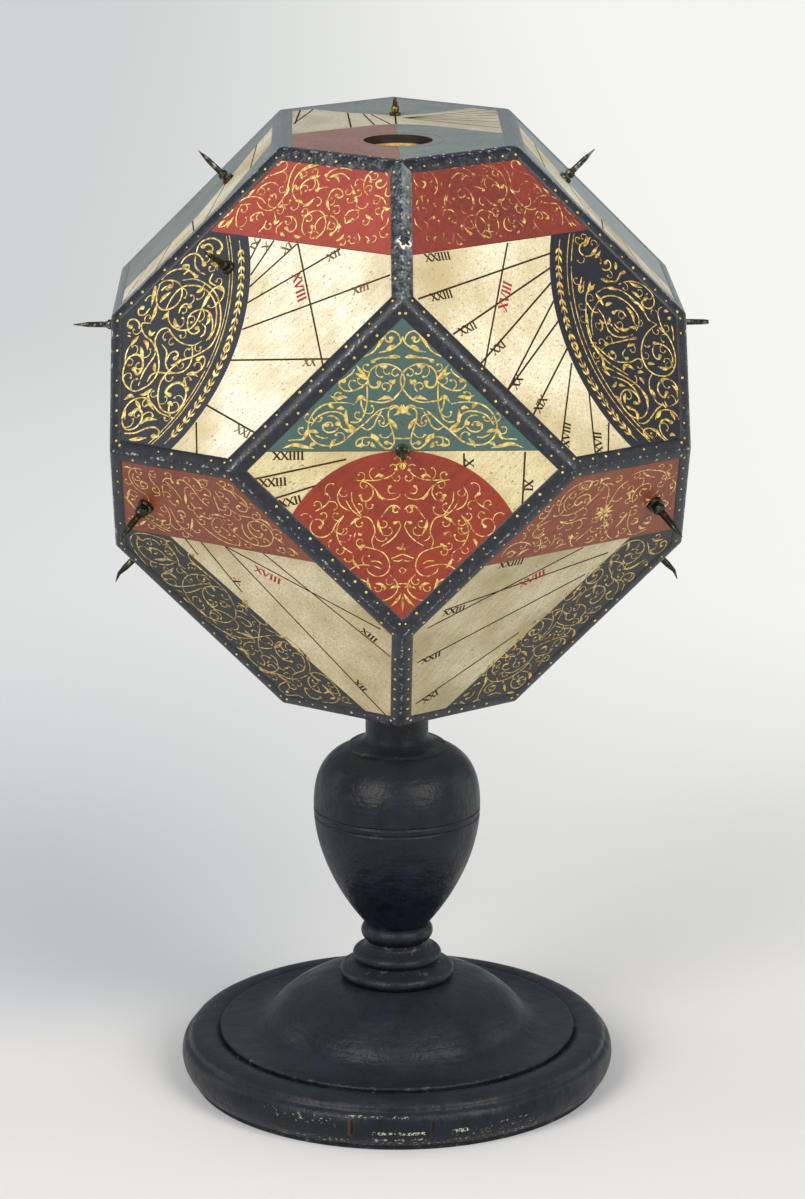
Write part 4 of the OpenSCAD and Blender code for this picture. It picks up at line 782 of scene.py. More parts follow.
LOWER_RIGHT_RED = [
    ("line", 1.8, 52.4, -1.6, 53.2, -5.4, 52.4, -8.6, 50.2, -10.4, 47, -10.4, 43, -9.4, 39.8),
    ("line", -6, 49.4, -8, 47, -8.6, 44, -7.4, 41, -5.6, 39.4),
    ("line", -7.4, 37.8, -4.2, 37.2, -0.6, 38, 2.6, 40.2, 5, 43.4, 7.8, 47.2),
    ("drop", 3.2, 41.4, 3.4, 44, 1.8, 46, -1, 46.2, -3, 44.8, -3.4, 42.6, -1.6, 41.4, -0.4, 42.6),
    ("line", -3.2, 47.4, -1.4, 48.8, 0.8, 48.8), ("leaf", 0.4, 49.2, 0.8, 51.4, 0.2, 53.4),
    ("leaf", 4, 53.6, 5.2, 52.4, 5, 50.4), ("leaf", 5.2, 52, 7.2, 52.8, 9.2, 52.2),
    ("line", 5.6, 51, 8, 49.6, 10.4, 47.6, 11.6, 44.6, 12.2, 41, 13, 37.6),
    ("line", 8, 49.8, 10.4, 49.6, 12.6, 48.4), ("drop", 9, 43.2, 10.4, 42.6, 12, 43.2),
    ("line", 18.8, 49.4, 16.4, 47.6, 15, 44.6, 14.4, 41, 14, 37.6),
    ("leaf", 12.2, 50.6, 13.8, 49.8, 15.4, 50.6),
    ("line", 19.6, 51.8, 22.4, 53, 26.4, 53.2, 30.4, 52.2, 34.6, 50.8, 37.2, 48, 37.8, 44.4, 36.6, 41,
     34.4, 38.6),
    ("leaf", 24.4, 52.8, 26.2, 50.8, 28.2, 50.2), ("line", 26.4, 50.6, 29, 49.4, 31.6, 48.6),
    ("leaf", 36.4, 50.2, 38.4, 48.6, 38.8, 45.8),
    ("line", 26, 37.4, 24.6, 40, 24.8, 43.4, 26.4, 45.4, 29.2, 46, 31.4, 44.6, 32, 42),
    ("drop", 28.8, 40, 27.4, 41.4, 27.8, 43.6, 29.4, 43.2), ("leaf", 20.6, 43.2, 22.6, 41.8, 23.6, 38.8),
    ("leaf", 20.8, 42.4, 23, 43.4, 25, 42.4), ("line", 41, 45.6, 43.4, 43.6, 44.4, 40.4, 43.6, 37.6),
    ("drop", 42.6, 44.6, 41.4, 42.6, 42.6, 41.2), ("drop", 41, 35.4, 43, 34.6, 44.6, 33, 43.4, 31.8),
    ("leaf", 31.8, 38.2, 33.4, 37, 35.2, 37), ("line", 39.4, 39, 40.4, 37, 39.6, 34.8),
    ("line", -13.4, 44.4, -14, 41, -14.8, 38, -17, 35.2, -19.2, 33.2),
    ("drop", -11.6, 36, -13.6, 35.4, -16, 34, -17.6, 31.4, -16.8, 29, -14.4, 28.2, -12.4, 29.2),
    ("line", -28.4, 21.6, -27.6, 25, -25, 27.2, -21.4, 27.4, -18, 26.2, -16, 24.6),
    ("drop", -26.6, 22.4, -24.6, 23.8, -22.8, 22.6), ("leaf", -20.8, 20.6, -18.8, 22.4, -16.4, 23),
    ("line", -12.6, 27.6, -11.6, 24.4, -9.6, 21.6), ("line", -14.2, 24, -11, 23.8, -8, 22.6),
    ("line", -6.4, 34.4, -3, 32.8, 0.6, 33, 4, 33.8, 6.4, 33.4), ("leaf", -6.8, 34.8, -5, 33.6, -3.2, 33.8),
    ("leaf", 0.4, 26.4, 2.2, 24.6, 3.8, 25.4), ("leaf", 2, 26.8, 2.6, 24.4, 2.2, 22.6),
    ("line", 2.6, 23.4, 3.8, 21, 5.4, 19.8), ("line", -6.4, 28, -5.6, 24.6, -6.6, 22),
    ("line", -3.4, 20.4, -1.6, 21.8, 1, 22), ("line", 12.6, 33, 11, 29, 8.4, 25.4, 5.6, 22.8),
    ("line", 14.6, 33, 16, 29, 18, 25.4, 21, 21.6, 23.4, 19.8), ("leaf", 16.2, 30.2, 18, 28, 19.4, 25.8),
    ("drop", 10.4, 20.6, 13, 20.4, 15, 22, 14.6, 23.8), ("leaf", 26, 33.2, 24.6, 29.4, 22.8, 25.2),
    ("line", 26.8, 33.4, 27.6, 28, 29.4, 24, 32, 21), ("drop", 24.8, 23.6, 26, 21.6, 25.6, 20.6),
    ("drop", 30.4, 28.4, 32.4, 28, 32.6, 26.2), ("leaf", 34.4, 24.2, 36.4, 22.4, 38.8, 22.2),
    ("line", 30, 21, 33, 20, 36, 20.2, 39, 21.4), ("leaf", 35.8, 25.6, 38, 24.6, 40.2, 24.8),
    ("leaf", 26.2, 34.6, 28, 35.2, 29.8, 34.4),
]
# Right half of each field on a flank
SIDE_RED = [
    ("drop", 0, 25, 3, 24.4, 8, 25.4, 13, 28, 14.6, 32, 12.4, 36, 8, 37, 4.4, 34.6, 4.6, 31, 7.4, 29.4,
     9.4, 31.2),
    ("drop", 13.6, 29, 17, 35, 22, 37, 27, 35.4, 29, 31.6, 27.4, 27.6, 23.4, 26, 20, 28, 20.4, 31, 22.8,
     31.6),
    ("drop", 29, 30.6, 31, 26.4, 35, 24.4, 39, 25.6, 41, 29, 39.4, 32, 36, 32.2, 34.4, 30, 36, 28.4),
    ("line", 40.6, 28, 44, 25.4, 49, 24), ("leaf", 0, 26, 1, 30, 0, 35),
    ("leaf", 14.6, 31, 16, 28, 18.4, 25.4), ("leaf", 15.6, 33, 15.4, 35.4, 17, 37),
    ("leaf", 29.4, 32.4, 31.2, 34.2, 33.6, 34.4), ("leaf", 30, 28, 28, 25.4, 25.6, 24.4),
    ("leaf", 41.6, 27.4, 43.4, 27.8, 45.2, 26.8),
]
SIDE_NAVY = [
    ("drop", 0, -20, 4, -19.4, 10, -20.6, 15, -23, 17, -28, 14.4, -33, 9, -34.6, 4.8, -31.6, 5, -27.4, 8.6,
     -25.4, 11.2, -27.8),
    ("drop", 16.6, -25.4, 20, -24, 26, -26.4, 30, -30, 29.6, -34.4, 26, -36.6, 21.6, -35, 21.6, -31, 24.8,
     -30.6),
    ("leaf", 0, -38, 1.4, -33, 0, -28), ("leaf", 17, -29, 18.4, -33, 18, -37),
    ("leaf", 30, -31, 33, -33, 35, -36), ("leaf", 14, -34, 11.6, -36.4, 8.6, -37.6),
]
# Right half of the red field and the blue corner on an overhanging square
SQUARE_RED = [
    ("drop", 0, 18.4, 4, 18.6, 9, 20.4, 13, 24, 13.6, 29, 10.6, 33, 6, 33.4, 3.6, 30, 5, 26.6, 8.4, 27,
     8.8, 29.4),
    ("drop", 13, 25, 16.6, 30.6, 21, 34.4, 26.4, 34.6, 29.4, 31, 28.4, 26.6, 24.6, 25, 21.6, 27.4, 23.2,
     30),
    ("drop", 29.4, 30, 31.4, 24.4, 35, 20.6, 37.6, 22.4, 36.6, 25.8, 34, 26), ("leaf", 0, 22, 1, 26, 0, 31),
    ("leaf", 9, 20, 13.6, 19.4, 18, 20.8), ("leaf", 14, 28, 15.4, 33, 14.4, 37),
    ("leaf", 30, 33, 33.4, 33.6, 36, 36.4), ("line", 20, 25.6, 22.6, 21.8, 27, 19.6, 31.4, 20),
]
SQUARE_NAVY = [
    ("drop", 8, -36, 14, -33, 20, -30, 26, -30, 30, -33, 29, -36.6, 25, -37, 22, -35, 24, -33),
    ("drop", 20, -30, 26, -25, 32, -22, 36, -24, 37, -28, 35, -31, 32, -30, 32, -27.6),
    ("drop", 26, -25, 30, -17, 34, -12, 37, -13, 37.4, -17, 35, -19, 33, -17.4),
    ("line", 30, -17, 33, -9, 36, -2, 38, 4), ("leaf", 16, -32, 13, -36, 10, -38),
    ("leaf", 33, -9, 36, -8, 38, -6), ("leaf", 34, -6, 34.2, -2, 36.4, 1),
    ("leaf", 31, -35, 34, -36, 37, -35),
]


# Finishes
def linear(code):
    """An sRGB hex value as the linear colour that a socket takes."""
    parts = [int(code[k:k + 2], 16) / 255 for k in (1, 3, 5)]
    return tuple(p / 12.92 if p <= 0.04045 else ((p + 0.055) / 1.055) ** 2.4 for p in parts) + (1,)


def add(tree, kind, inputs=None, **settings):
    """Adds a node, with its settings, and its inputs as values or as sockets to link."""
    node = tree.nodes.new(kind)
    for name, value in settings.items():
        setattr(node, name, value)
    for name, value in (inputs or {}).items():
        if isinstance(value, bpy.types.NodeSocket):
            tree.links.new(value, node.inputs[name])
        else:
            node.inputs[name].default_value = value
    return node


def finish_of(name, **values):
    """A new material: its tree, its shader with fixed values, and the place on the piece in metres."""
    material = bpy.data.materials.new(name)
    material.use_nodes = True
    tree = material.node_tree
    tree.nodes.clear()
    shader = add(tree, "ShaderNodeBsdfPrincipled", {k.replace("_", " "): v for k, v in values.items()})
    add(tree, "ShaderNodeOutputMaterial", {"Surface": shader.outputs[0]})
    place = add(tree, "ShaderNodeTexCoord").outputs["Object"]
    return material, tree, shader, place


def coat(tree, below, colour, over, start, full, most=1):
    """A colour laid over what is below: none where a value is at its start, the most where it is full."""
    share = add(tree, "ShaderNodeMapRange",
                {"Value": over, "From Min": start, "From Max": full, "To Max": most})
    both = add(tree, "ShaderNodeMix", {0: share.outputs[0], 6: below, 7: linear(colour)}, data_type="RGBA")
    return both.outputs[2]


def aged_gesso(name="aged_gesso", tones=("#fcf6e6", "#ddd1ae", "#c9b788"), well=False):
    # Oil white over gesso: brushed on the slant, yellowed, specked brown, dark from handling at its edges
    material, tree, shader, place = finish_of(name, Roughness=0.5)
    slanted = add(tree, "ShaderNodeMapping", {"Vector": place, "Rotation": (0, math.radians(45), 0)})
    # Brush streaks about 8 mm long and 1 mm wide, stronger in some places than in others
    drawn = add(tree, "ShaderNodeMapping", {"Vector": slanted.outputs[0], "Scale": (120, 1000, 1000)})
    streak = add(tree, "ShaderNodeTexNoise",
                 {"Vector": drawn.outputs[0], "Scale": 1, "Detail": 5, "Roughness": 0.6})
    # Clouds of yellowing about 25 mm wide
    cloud = add(tree, "ShaderNodeTexNoise", {"Vector": place, "Scale": 40, "Detail": 3})
    uneven = add(tree, "ShaderNodeMath", {0: cloud.outputs[0], 1: 0.7, 2: streak.outputs[0]},
                 operation="MULTIPLY_ADD")
    last = coat(tree, linear(tones[0]), tones[1], uneven.outputs[0], 0.68, 1.06)
    last = coat(tree, last, tones[2], cloud.outputs[0], 0.42, 0.72, 0.7)
    # Pores about 0.7 mm wide
    pore = add(tree, "ShaderNodeTexNoise", {"Vector": place, "Scale": 1400, "Detail": 3})
    last = coat(tree, last, tones[2], pore.outputs[0], 0.45, 0.7, 0.6)
    # Specks about 0.7 mm wide, drawn out by the brush
    fly = add(tree, "ShaderNodeMapping", {"Vector": slanted.outputs[0], "Scale": (620, 1100, 1100)})
    speck = add(tree, "ShaderNodeTexNoise", {"Vector": fly.outputs[0], "Scale": 1, "Detail": 2})
    last = coat(tree, last, "#7d6438", speck.outputs[0], 0.64, 0.72, 0.8)
    # Grime gathers towards the corners, furthest from the middle of the head
    reach = add(tree, "ShaderNodeVectorMath", {0: place, 1: MID * MM}, operation="DISTANCE")
    smear = add(tree, "ShaderNodeMath", {0: cloud.outputs[0], 1: 0.02, 2: reach.outputs["Value"]},
                operation="MULTIPLY_ADD")
    last = coat(tree, last, "#8d7a51", smear.outputs[0], 0.124, 0.15, 0.62)
    if well:
        # Brown dirt round the mouth of the compass well, and painted shade within: the wall of the well is
        # painted near black
        level = add(tree, "ShaderNodeVectorMath", {0: place, 1: (1, 1, 0)}, operation="MULTIPLY")
        middle = add(tree, "ShaderNodeVectorMath", {0: level.outputs[0], 1: (0, COMPASS_V * MM, 0)},
                     operation="DISTANCE").outputs["Value"]
        last = coat(tree, last, "#917f5a", middle, (WELL_R + 1.1) * MM, (WELL_R + 0.6) * MM, 0.8)
        last = coat(tree, last, "#1d1519", middle, (WELL_R + 0.15) * MM, (WELL_R + 0.02) * MM)
    tree.links.new(last, shader.inputs["Base Color"])
    relief = add(tree, "ShaderNodeBump", {"Height": streak.outputs[0], "Strength": 0.25, "Distance": 0.0002})
    tree.links.new(relief.outputs[0], shader.inputs["Normal"])
    return material


def old_paint(name, colour, deep, rubbed, rubbing):
    # Pigment in oil over gesso: brushed unevenly, soiled in clouds, speckled, rubbed through in scuffs
    material, tree, shader, place = finish_of(name, Roughness=0.42)
    slanted = add(tree, "ShaderNodeMapping", {"Vector": place, "Rotation": (0, math.radians(45), 0)})
    # Brush marks about 10 mm long and 1.2 mm wide
    drawn = add(tree, "ShaderNodeMapping", {"Vector": slanted.outputs[0], "Scale": (100, 800, 800)})
    streak = add(tree, "ShaderNodeTexNoise", {"Vector": drawn.outputs[0], "Scale": 1, "Detail": 4})
    # Clouds of dirt about 20 mm wide
    cloud = add(tree, "ShaderNodeTexNoise", {"Vector": place, "Scale": 55, "Detail": 3})
    uneven = add(tree, "ShaderNodeMath", {0: cloud.outputs[0], 1: 0.9, 2: streak.outputs[0]},
                 operation="MULTIPLY_ADD")
    last = coat(tree, linear(colour), deep, uneven.outputs[0], 0.75, 1.2)
    # Specks about 0.7 mm wide
    grit = add(tree, "ShaderNodeTexNoise", {"Vector": place, "Scale": 1300, "Detail": 2})
    last = coat(tree, last, "#211a17", grit.outputs[0], 0.4, 0.3, 0.5)
    # Scuffs from 0.5 to 3 mm wide
    scuff = add(tree, "ShaderNodeTexNoise", {"Vector": place, "Scale": 420, "Detail": 6, "Roughness": 0.7})
    last = coat(tree, last, rubbed, scuff.outputs[0], 0.72 - rubbing, 0.8 - rubbing, 0.6)
    tree.links.new(last, shader.inputs["Base Color"])
    relief = add(tree, "ShaderNodeBump", {"Height": scuff.outputs[0], "Strength": 0.2, "Distance": 0.0002})
    tree.links.new(relief.outputs[0], shader.inputs["Normal"])
    return material


def shell_gold(name, ground, lost, tones=("#b0903c", "#e6cd78")):
    # Powdered gold in gum, laid with a fine brush: soft yellow gleam, rubbed off in places down to the paint
    material, tree, shader, place = finish_of(name, Roughness=0.38)
    # Thick and thin gold, with painted shade and highlights on it: ochre to pale yellow in marks from 0.6 to
    # 2 mm
    load_and_shading = add(tree, "ShaderNodeTexNoise", {"Vector": place, "Scale": 620, "Detail": 4, "Roughness": 0.6})
    gold = coat(tree, linear(tones[0]), tones[1], load_and_shading.outputs[0], 0.4, 0.6)
    # Rubbed patches from 1 to 5 mm wide, where the gleam goes with the gold
    rub = add(tree, "ShaderNodeTexNoise", {"Vector": place, "Scale": 330, "Detail": 5, "Roughness": 0.65})
    gone = add(tree, "ShaderNodeMapRange",
               {"Value": rub.outputs[0], "From Min": 0.65 - lost, "From Max": 0.74 - lost})
    worn = add(tree, "ShaderNodeMix", {0: gone.outputs[0], 6: gold, 7: linear(ground)}, data_type="RGBA")
    gleam = add(tree, "ShaderNodeMapRange", {"Value": gone.outputs[0], "To Min": 0.25, "To Max": 0})
    tree.links.new(worn.outputs[2], shader.inputs["Base Color"])
    tree.links.new(gleam.outputs[0], shader.inputs["Metallic"])
    return material


def ink(name, colour, pale):
    # Ink drawn with a pen: matt, darker and thinner along the stroke
    material, tree, shader, place = finish_of(name, Roughness=0.7, Specular_IOR_Level=0.2)
    # Ink that skips about every 2 mm
    flow = add(tree, "ShaderNodeTexNoise", {"Vector": place, "Scale": 700, "Detail": 4})
    last = coat(tree, linear(colour), pale, flow.outputs[0], 0.56, 0.8)
    tree.links.new(last, shader.inputs["Base Color"])
    return material


def edge_black(name, chipped=False):
    # Blue-black paint on the glued strips: rubbed grey along the ridge by handling, chipped at one place
    material, tree, shader, place = finish_of(name, Roughness=0.36)
    # Rubbed marks from 0.5 to 4 mm wide
    rub = add(tree, "ShaderNodeTexNoise", {"Vector": place, "Scale": 380, "Detail": 6, "Roughness": 0.7})
    last = coat(tree, linear("#11151e"), "#222833", rub.outputs[0], 0.4, 0.7)
    # Scuffs about 0.8 mm wide
    scuff = add(tree, "ShaderNodeTexNoise", {"Vector": place, "Scale": 1100, "Detail": 3})
    rough = add(tree, "ShaderNodeMath", {0: scuff.outputs[0], 1: 0.6, 2: rub.outputs[0]},
                operation="MULTIPLY_ADD")
    # Strips round the back of the top and on the upper squares are bleached grey, others only in patches
    faded = add(tree, "ShaderNodeAttribute", attribute_name="faded")
    patch = add(tree, "ShaderNodeMath", {0: faded.outputs["Fac"], 1: 0.6, 2: rough.outputs[0]},
                operation="MULTIPLY_ADD")
    last = coat(tree, last, "#848e92", patch.outputs[0], 0.95, 1.36, 0.88)
    # Most of the bare scuffs lie along the ridge
    ridge = add(tree, "ShaderNodeAttribute", attribute_name="ridge")
    bare = add(tree, "ShaderNodeMath", {0: ridge.outputs["Fac"], 1: 0.22, 2: rough.outputs[0]},
               operation="MULTIPLY_ADD")
    last = coat(tree, last, "#a3a8ab", bare.outputs[0], 1.03, 1.15, 0.85)
    if chipped:
        # White gesso round a dark hollow, torn in marks about 1.5 mm wide
        ragged = add(tree, "ShaderNodeTexNoise", {"Vector": place, "Scale": 650, "Detail": 4})
        hollow = CHIP + Vector((0.3, 0, 1)) * MM
        for spot, size, colour in ((CHIP, 0.0055, "#e9e7e2"), (hollow, 0.0051, "#141722")):
            reach = add(tree, "ShaderNodeVectorMath", {0: place, 1: spot}, operation="DISTANCE")
            torn = add(tree, "ShaderNodeMath", {0: ragged.outputs[0], 1: 0.006, 2: reach.outputs["Value"]},
                       operation="MULTIPLY_ADD")
            last = coat(tree, last, colour, torn.outputs[0], size + 0.0002, size)
    tree.links.new(last, shader.inputs["Base Color"])
    relief = add(tree, "ShaderNodeBump", {"Height": rub.outputs[0], "Strength": 0.5, "Distance": 0.0005})
    tree.links.new(relief.outputs[0], shader.inputs["Normal"])
    return material


# Flaked paint on the front of the base disc, in metres: (x, z, half width, half height, least fleck, colour)
FLAKES = [
    (-0.0078, 0.0152, 0.013, 0.0004, 0.57, "#97947d"), (-0.0001, 0.009, 0.0103, 0.0006, 0.53, "#a9a695"),
    (-0.0001, 0.0062, 0.0103, 0.0005, 0.54, "#96937e"), (0.004, 0.004, 0.05, 0.0016, 0.61, "#908d7c"),
    (0.0237, 0.0092, 0.0024, 0.0008, 0.52, "#bab8aa"), (-0.038, 0.0125, 0.014, 0.0016, 0.63, "#8d8a76"),
    (0.036, 0.0085, 0.016, 0.002, 0.64, "#87846e"),
]
# Slots split to the wood there, brown at the sides, dark within: (x, z, half width, half height, colour)
SLOTS = [
    (-0.0182, 0.0112, 0.0018, 0.0058, "#3a2614"), (-0.0178, 0.0112, 0.0009, 0.005, "#070506"),
    (0.0126, 0.0112, 0.0013, 0.0046, "#2e1e11"), (0.0128, 0.0112, 0.0008, 0.004, "#080606"),
]


def stand_paint():
    # Blue-black oil paint on turned wood: satin, uneven over the tool marks, rubbed pale at its sharp edges
    material, tree, shader, place = finish_of("stand_paint", Specular_IOR_Level=0.3)
    # Lumps in the old paint, 3 to 12 mm wide
    lump = add(tree, "ShaderNodeTexNoise", {"Vector": place, "Scale": 110, "Detail": 5, "Roughness": 0.6})
    last = coat(tree, linear("#070d16"), "#101a27", lump.outputs[0], 0.38, 0.68)
    # Dust, and a painted sheen of the light from above: what faces upwards is lighter
    facing = add(tree, "ShaderNodeSeparateXYZ", {0: add(tree, "ShaderNodeNewGeometry").outputs["Normal"]})
    last = coat(tree, last, "#333c42", facing.outputs[2], 0.45, 1, 0.4)
    # Scratches and rubbed marks from 1 to 6 mm, most of them on sharp edges
    rub = add(tree, "ShaderNodeTexNoise", {"Vector": place, "Scale": 210, "Detail": 8, "Roughness": 0.75})
    rim = add(tree, "ShaderNodeAttribute", attribute_name="rim")
    bare = add(tree, "ShaderNodeMath", {0: rim.outputs["Fac"], 1: 0.16, 2: rub.outputs[0]},
               operation="MULTIPLY_ADD")
    last = coat(tree, last, "#7d7f7c", bare.outputs[0], 0.7, 0.82, 0.55)
    # Flakes and slots, in flecks about 1 mm wide
    ragged = add(tree, "ShaderNodeVectorMath", {0: rub.outputs[1], 1: (0.0016, 0, 0.0016), 2: place},
                 operation="MULTIPLY_ADD")
    spot = add(tree, "ShaderNodeSeparateXYZ", {0: ragged.outputs[0]})
    front = add(tree, "ShaderNodeMath", {0: spot.outputs[1], 1: -0.05}, operation="LESS_THAN")
    fleck = add(tree, "ShaderNodeTexNoise", {"Vector": place, "Scale": 900, "Detail": 3, "Roughness": 0.6})
    for x, z, wide, high, least, colour in FLAKES:
        near = add(tree, "ShaderNodeMath", {0: spot.outputs[0], 1: x, 2: wide}, operation="COMPARE")
        level = add(tree, "ShaderNodeMath", {0: spot.outputs[2], 1: z, 2: high}, operation="COMPARE")
        flaked = add(tree, "ShaderNodeMath", {0: fleck.outputs[0], 1: least}, operation="GREATER_THAN")
        mask = front
        for limit in (near, level, flaked):
            mask = add(tree, "ShaderNodeMath", {0: mask.outputs[0], 1: limit.outputs[0]},
                       operation="MULTIPLY")
        last = add(tree, "ShaderNodeMix", {0: mask.outputs[0], 6: last, 7: linear(colour)},
                   data_type="RGBA").outputs[2]
    for x, z, wide, high, colour in SLOTS:
        drawn = add(tree, "ShaderNodeMapping",
                    {"Vector": ragged.outputs[0], "Scale": (1 / wide, 0, 1 / high)})
        reach = add(tree, "ShaderNodeVectorMath", {0: drawn.outputs[0], 1: (x / wide, 0, z / high)},
                    operation="DISTANCE")
        uneven = add(tree, "ShaderNodeMath", {0: fleck.outputs[0], 1: 1.2, 2: reach.outputs["Value"]},
                     operation="MULTIPLY_ADD")
        within = add(tree, "ShaderNodeMath", {0: uneven.outputs[0], 1: 1.4}, operation="LESS_THAN")
        mask = add(tree, "ShaderNodeMath", {0: within.outputs[0], 1: front.outputs[0]}, operation="MULTIPLY")
        last = add(tree, "ShaderNodeMix", {0: mask.outputs[0], 6: last, 7: linear(colour)},
                   data_type="RGBA").outputs[2]
    tree.links.new(last, shader.inputs["Base Color"])
    gloss = add(tree, "ShaderNodeMapRange", {"Value": lump.outputs[0], "From Min": 0.3, "From Max": 0.7,
                                             "To Min": 0.32, "To Max": 0.5})
    tree.links.new(gloss.outputs[0], shader.inputs["Roughness"])
    # Turning marks about 1.5 mm apart
    rings = add(tree, "ShaderNodeMapping", {"Vector": place, "Scale": (25, 25, 650)})
    tool = add(tree, "ShaderNodeTexNoise", {"Vector": rings.outputs[0], "Scale": 1, "Detail": 3})
    height = add(tree, "ShaderNodeMath", {0: tool.outputs[0], 1: 0.18, 2: lump.outputs[0]},
                 operation="MULTIPLY_ADD")
    relief = add(tree, "ShaderNodeBump", {"Height": height.outputs[0], "Strength": 0.7, "Distance": 0.0014})
    tree.links.new(relief.outputs[0], shader.inputs["Normal"])
    return material


def metal(name, bright, dull, roughness, share):
    # Turned brass or iron, darkened with age and bright where it is rubbed
    material, tree, shader, place = finish_of(name, Metallic=0.9, Roughness=roughness)
    # Tarnish in patches about 1.5 mm wide
    patch = add(tree, "ShaderNodeTexNoise", {"Vector": place, "Scale": 650, "Detail": 4})
    last = coat(tree, linear(dull), bright, patch.outputs[0], share, share + 0.15)
    tree.links.new(last, shader.inputs["Base Color"])
    return material


def bare_wood():
    # Turned limewood, unpainted: pale brown with fine grain along the axis
    material, tree, shader, place = finish_of("bare_wood", Roughness=0.6)
    # Grain lines about 0.8 mm apart
    grain = add(tree, "ShaderNodeMapping", {"Vector": place, "Scale": (1200, 1200, 60)})
    line = add(tree, "ShaderNodeTexNoise", {"Vector": grain.outputs[0], "Scale": 1, "Detail": 4})
    last = coat(tree, linear("#6d4c2c"), "#a57c4d", line.outputs[0], 0, 1)
    tree.links.new(last, shader.inputs["Base Color"])
    return material


def paper_card():
    # Rag paper, browned and foxed
    material, tree, shader, place = finish_of("paper_card", Roughness=0.8)
    # Foxing about 2 mm wide
    fox = add(tree, "ShaderNodeTexNoise", {"Vector": place, "Scale": 500, "Detail": 4})
    last = coat(tree, linear("#d9c9a0"), "#b49c6c", fox.outputs[0], 0, 1)
    tree.links.new(last, shader.inputs["Base Color"])
    return material


def old_glass():
    # Thin window glass: clear, faintly green
    green = linear("#eef4ee")
    return finish_of("old_glass", Base_Color=green, Roughness=0.03, IOR=1.5, Transmission_Weight=1)[0]


def ridge_point(share):
    """Point on the ridge between the two upper front faces, from its upper end to its lower."""
    shared = [c for c in RINGS["front_upper_left"] if c in RINGS["front_upper_right"]]
    high, low = sorted(shared, key=lambda c: -c.z)
    return (MID + high.lerp(low, share)) * MM


# The one chip in the paint of the strips
CHIP = ridge_point(0.585) + Vector((1.2, 0, 0.4)) * MM

# Paints that show again where the gold on them is rubbed off
TEAL, NAVY, DEEP_NAVY, LOWER_NAVY = "#425d58", "#2f343f", "#141a27", "#212522"
# Paler gold, a painted highlight for the dial that faces the light
LIT_PALE_GOLD = ("#b89340", "#fce894")
FINISHES = {
    "gesso": aged_gesso(),
    "soiled_gesso": aged_gesso("aged_gesso_soiled", ("#f6eed4", "#d9cca6", "#c0ad7e")),
    "yellow_gesso": aged_gesso("aged_gesso_yellow", ("#d8cca4", "#bdae80", "#a99661")),
    # Gesso for the downward faces, darker as painted shade; the one on the front lower right darker still
    "brown_gesso": aged_gesso("aged_gesso_browned", ("#d9cfb0", "#bfb087", "#a39366")),
    "dull_gesso": aged_gesso("aged_gesso_dull", ("#cbc2a3", "#b2a57e", "#988a60")),
    "well_gesso": aged_gesso("aged_gesso_well", ("#e2dcca", "#ccc3a9", "#b9ad8d"), True),
    "red": old_paint("vermilion", "#a34236", "#963a2e", "#7a4030", 0.04),
    "front_red": old_paint("vermilion_dark", "#8e2f17", "#782611", "#5b3021", 0.05),
    "pale_red": old_paint("vermilion_faded", "#a57e71", "#936d62", "#b3a79c", 0.12),
    # Red for the downward faces: a little browned, and darker as painted shade
    "lower_red": old_paint("vermilion_browned", "#853f24", "#71341f", "#664430", 0.06),
    "worn_red": old_paint("vermilion_worn", "#882f20", "#6f271b", "#4c2a1e", 0.09),
    "teal": old_paint("verdigris", TEAL, "#3f5a57", "#7d8f85", 0.02),
    "slate": old_paint("verdigris_faded", "#929d99", "#7b8886", "#adb1a7", 0.06),
    "pale_slate": old_paint("verdigris_bleached", "#a9b0af", "#929c9d", "#bcbdb5", 0.06),
    "navy": old_paint("indigo", NAVY, "#262a33", "#4a4f5a", 0.03),
    "deep_navy": old_paint("indigo_deep", DEEP_NAVY, "#10151f", "#3c4350", 0.03),
    # Blue for the downward faces: a little browned, and darker as painted shade
    "lower_navy": old_paint("indigo_browned", LOWER_NAVY, "#1b1f20", "#464a44", 0.04),
    "pale_gold_on_red": shell_gold("shell_gold_pale_on_red", "#9c382c", 0.1, LIT_PALE_GOLD),
    "gold_on_red": shell_gold("shell_gold_on_red", "#8f3022", 0.12),
    # Gold for the downward red, darker as painted shade
    "gold_on_lower_red": shell_gold("shell_gold_on_brown_red", "#85381f", 0.1, ("#b58f4c", "#f0d48a")),
    "faint_gold_on_red": shell_gold("shell_gold_rubbed", "#842c20", 0.22),
    "gold_on_teal": shell_gold("shell_gold_on_teal", TEAL, 0.06),
    "gold_on_navy": shell_gold("shell_gold_on_navy", NAVY, 0.05, LIT_PALE_GOLD),
    "gold_on_deep_navy": shell_gold("shell_gold_on_deep_navy", DEEP_NAVY, 0.11, ("#a07a30", "#ecd070")),
    # Gold for the downward blue, darker as painted shade
    "gold_on_lower_navy": shell_gold("shell_gold_on_brown_navy", LOWER_NAVY, 0.11, ("#97783a", "#d6bc74")),
    "ink": ink("brown_ink", "#33220e", "#5c4626"),
    "faint_ink": ink("faded_ink", "#6a5b3e", "#9a8b69"),
    "red_ink": ink("red_ink", "#9d2b2b", "#c08070"),
}

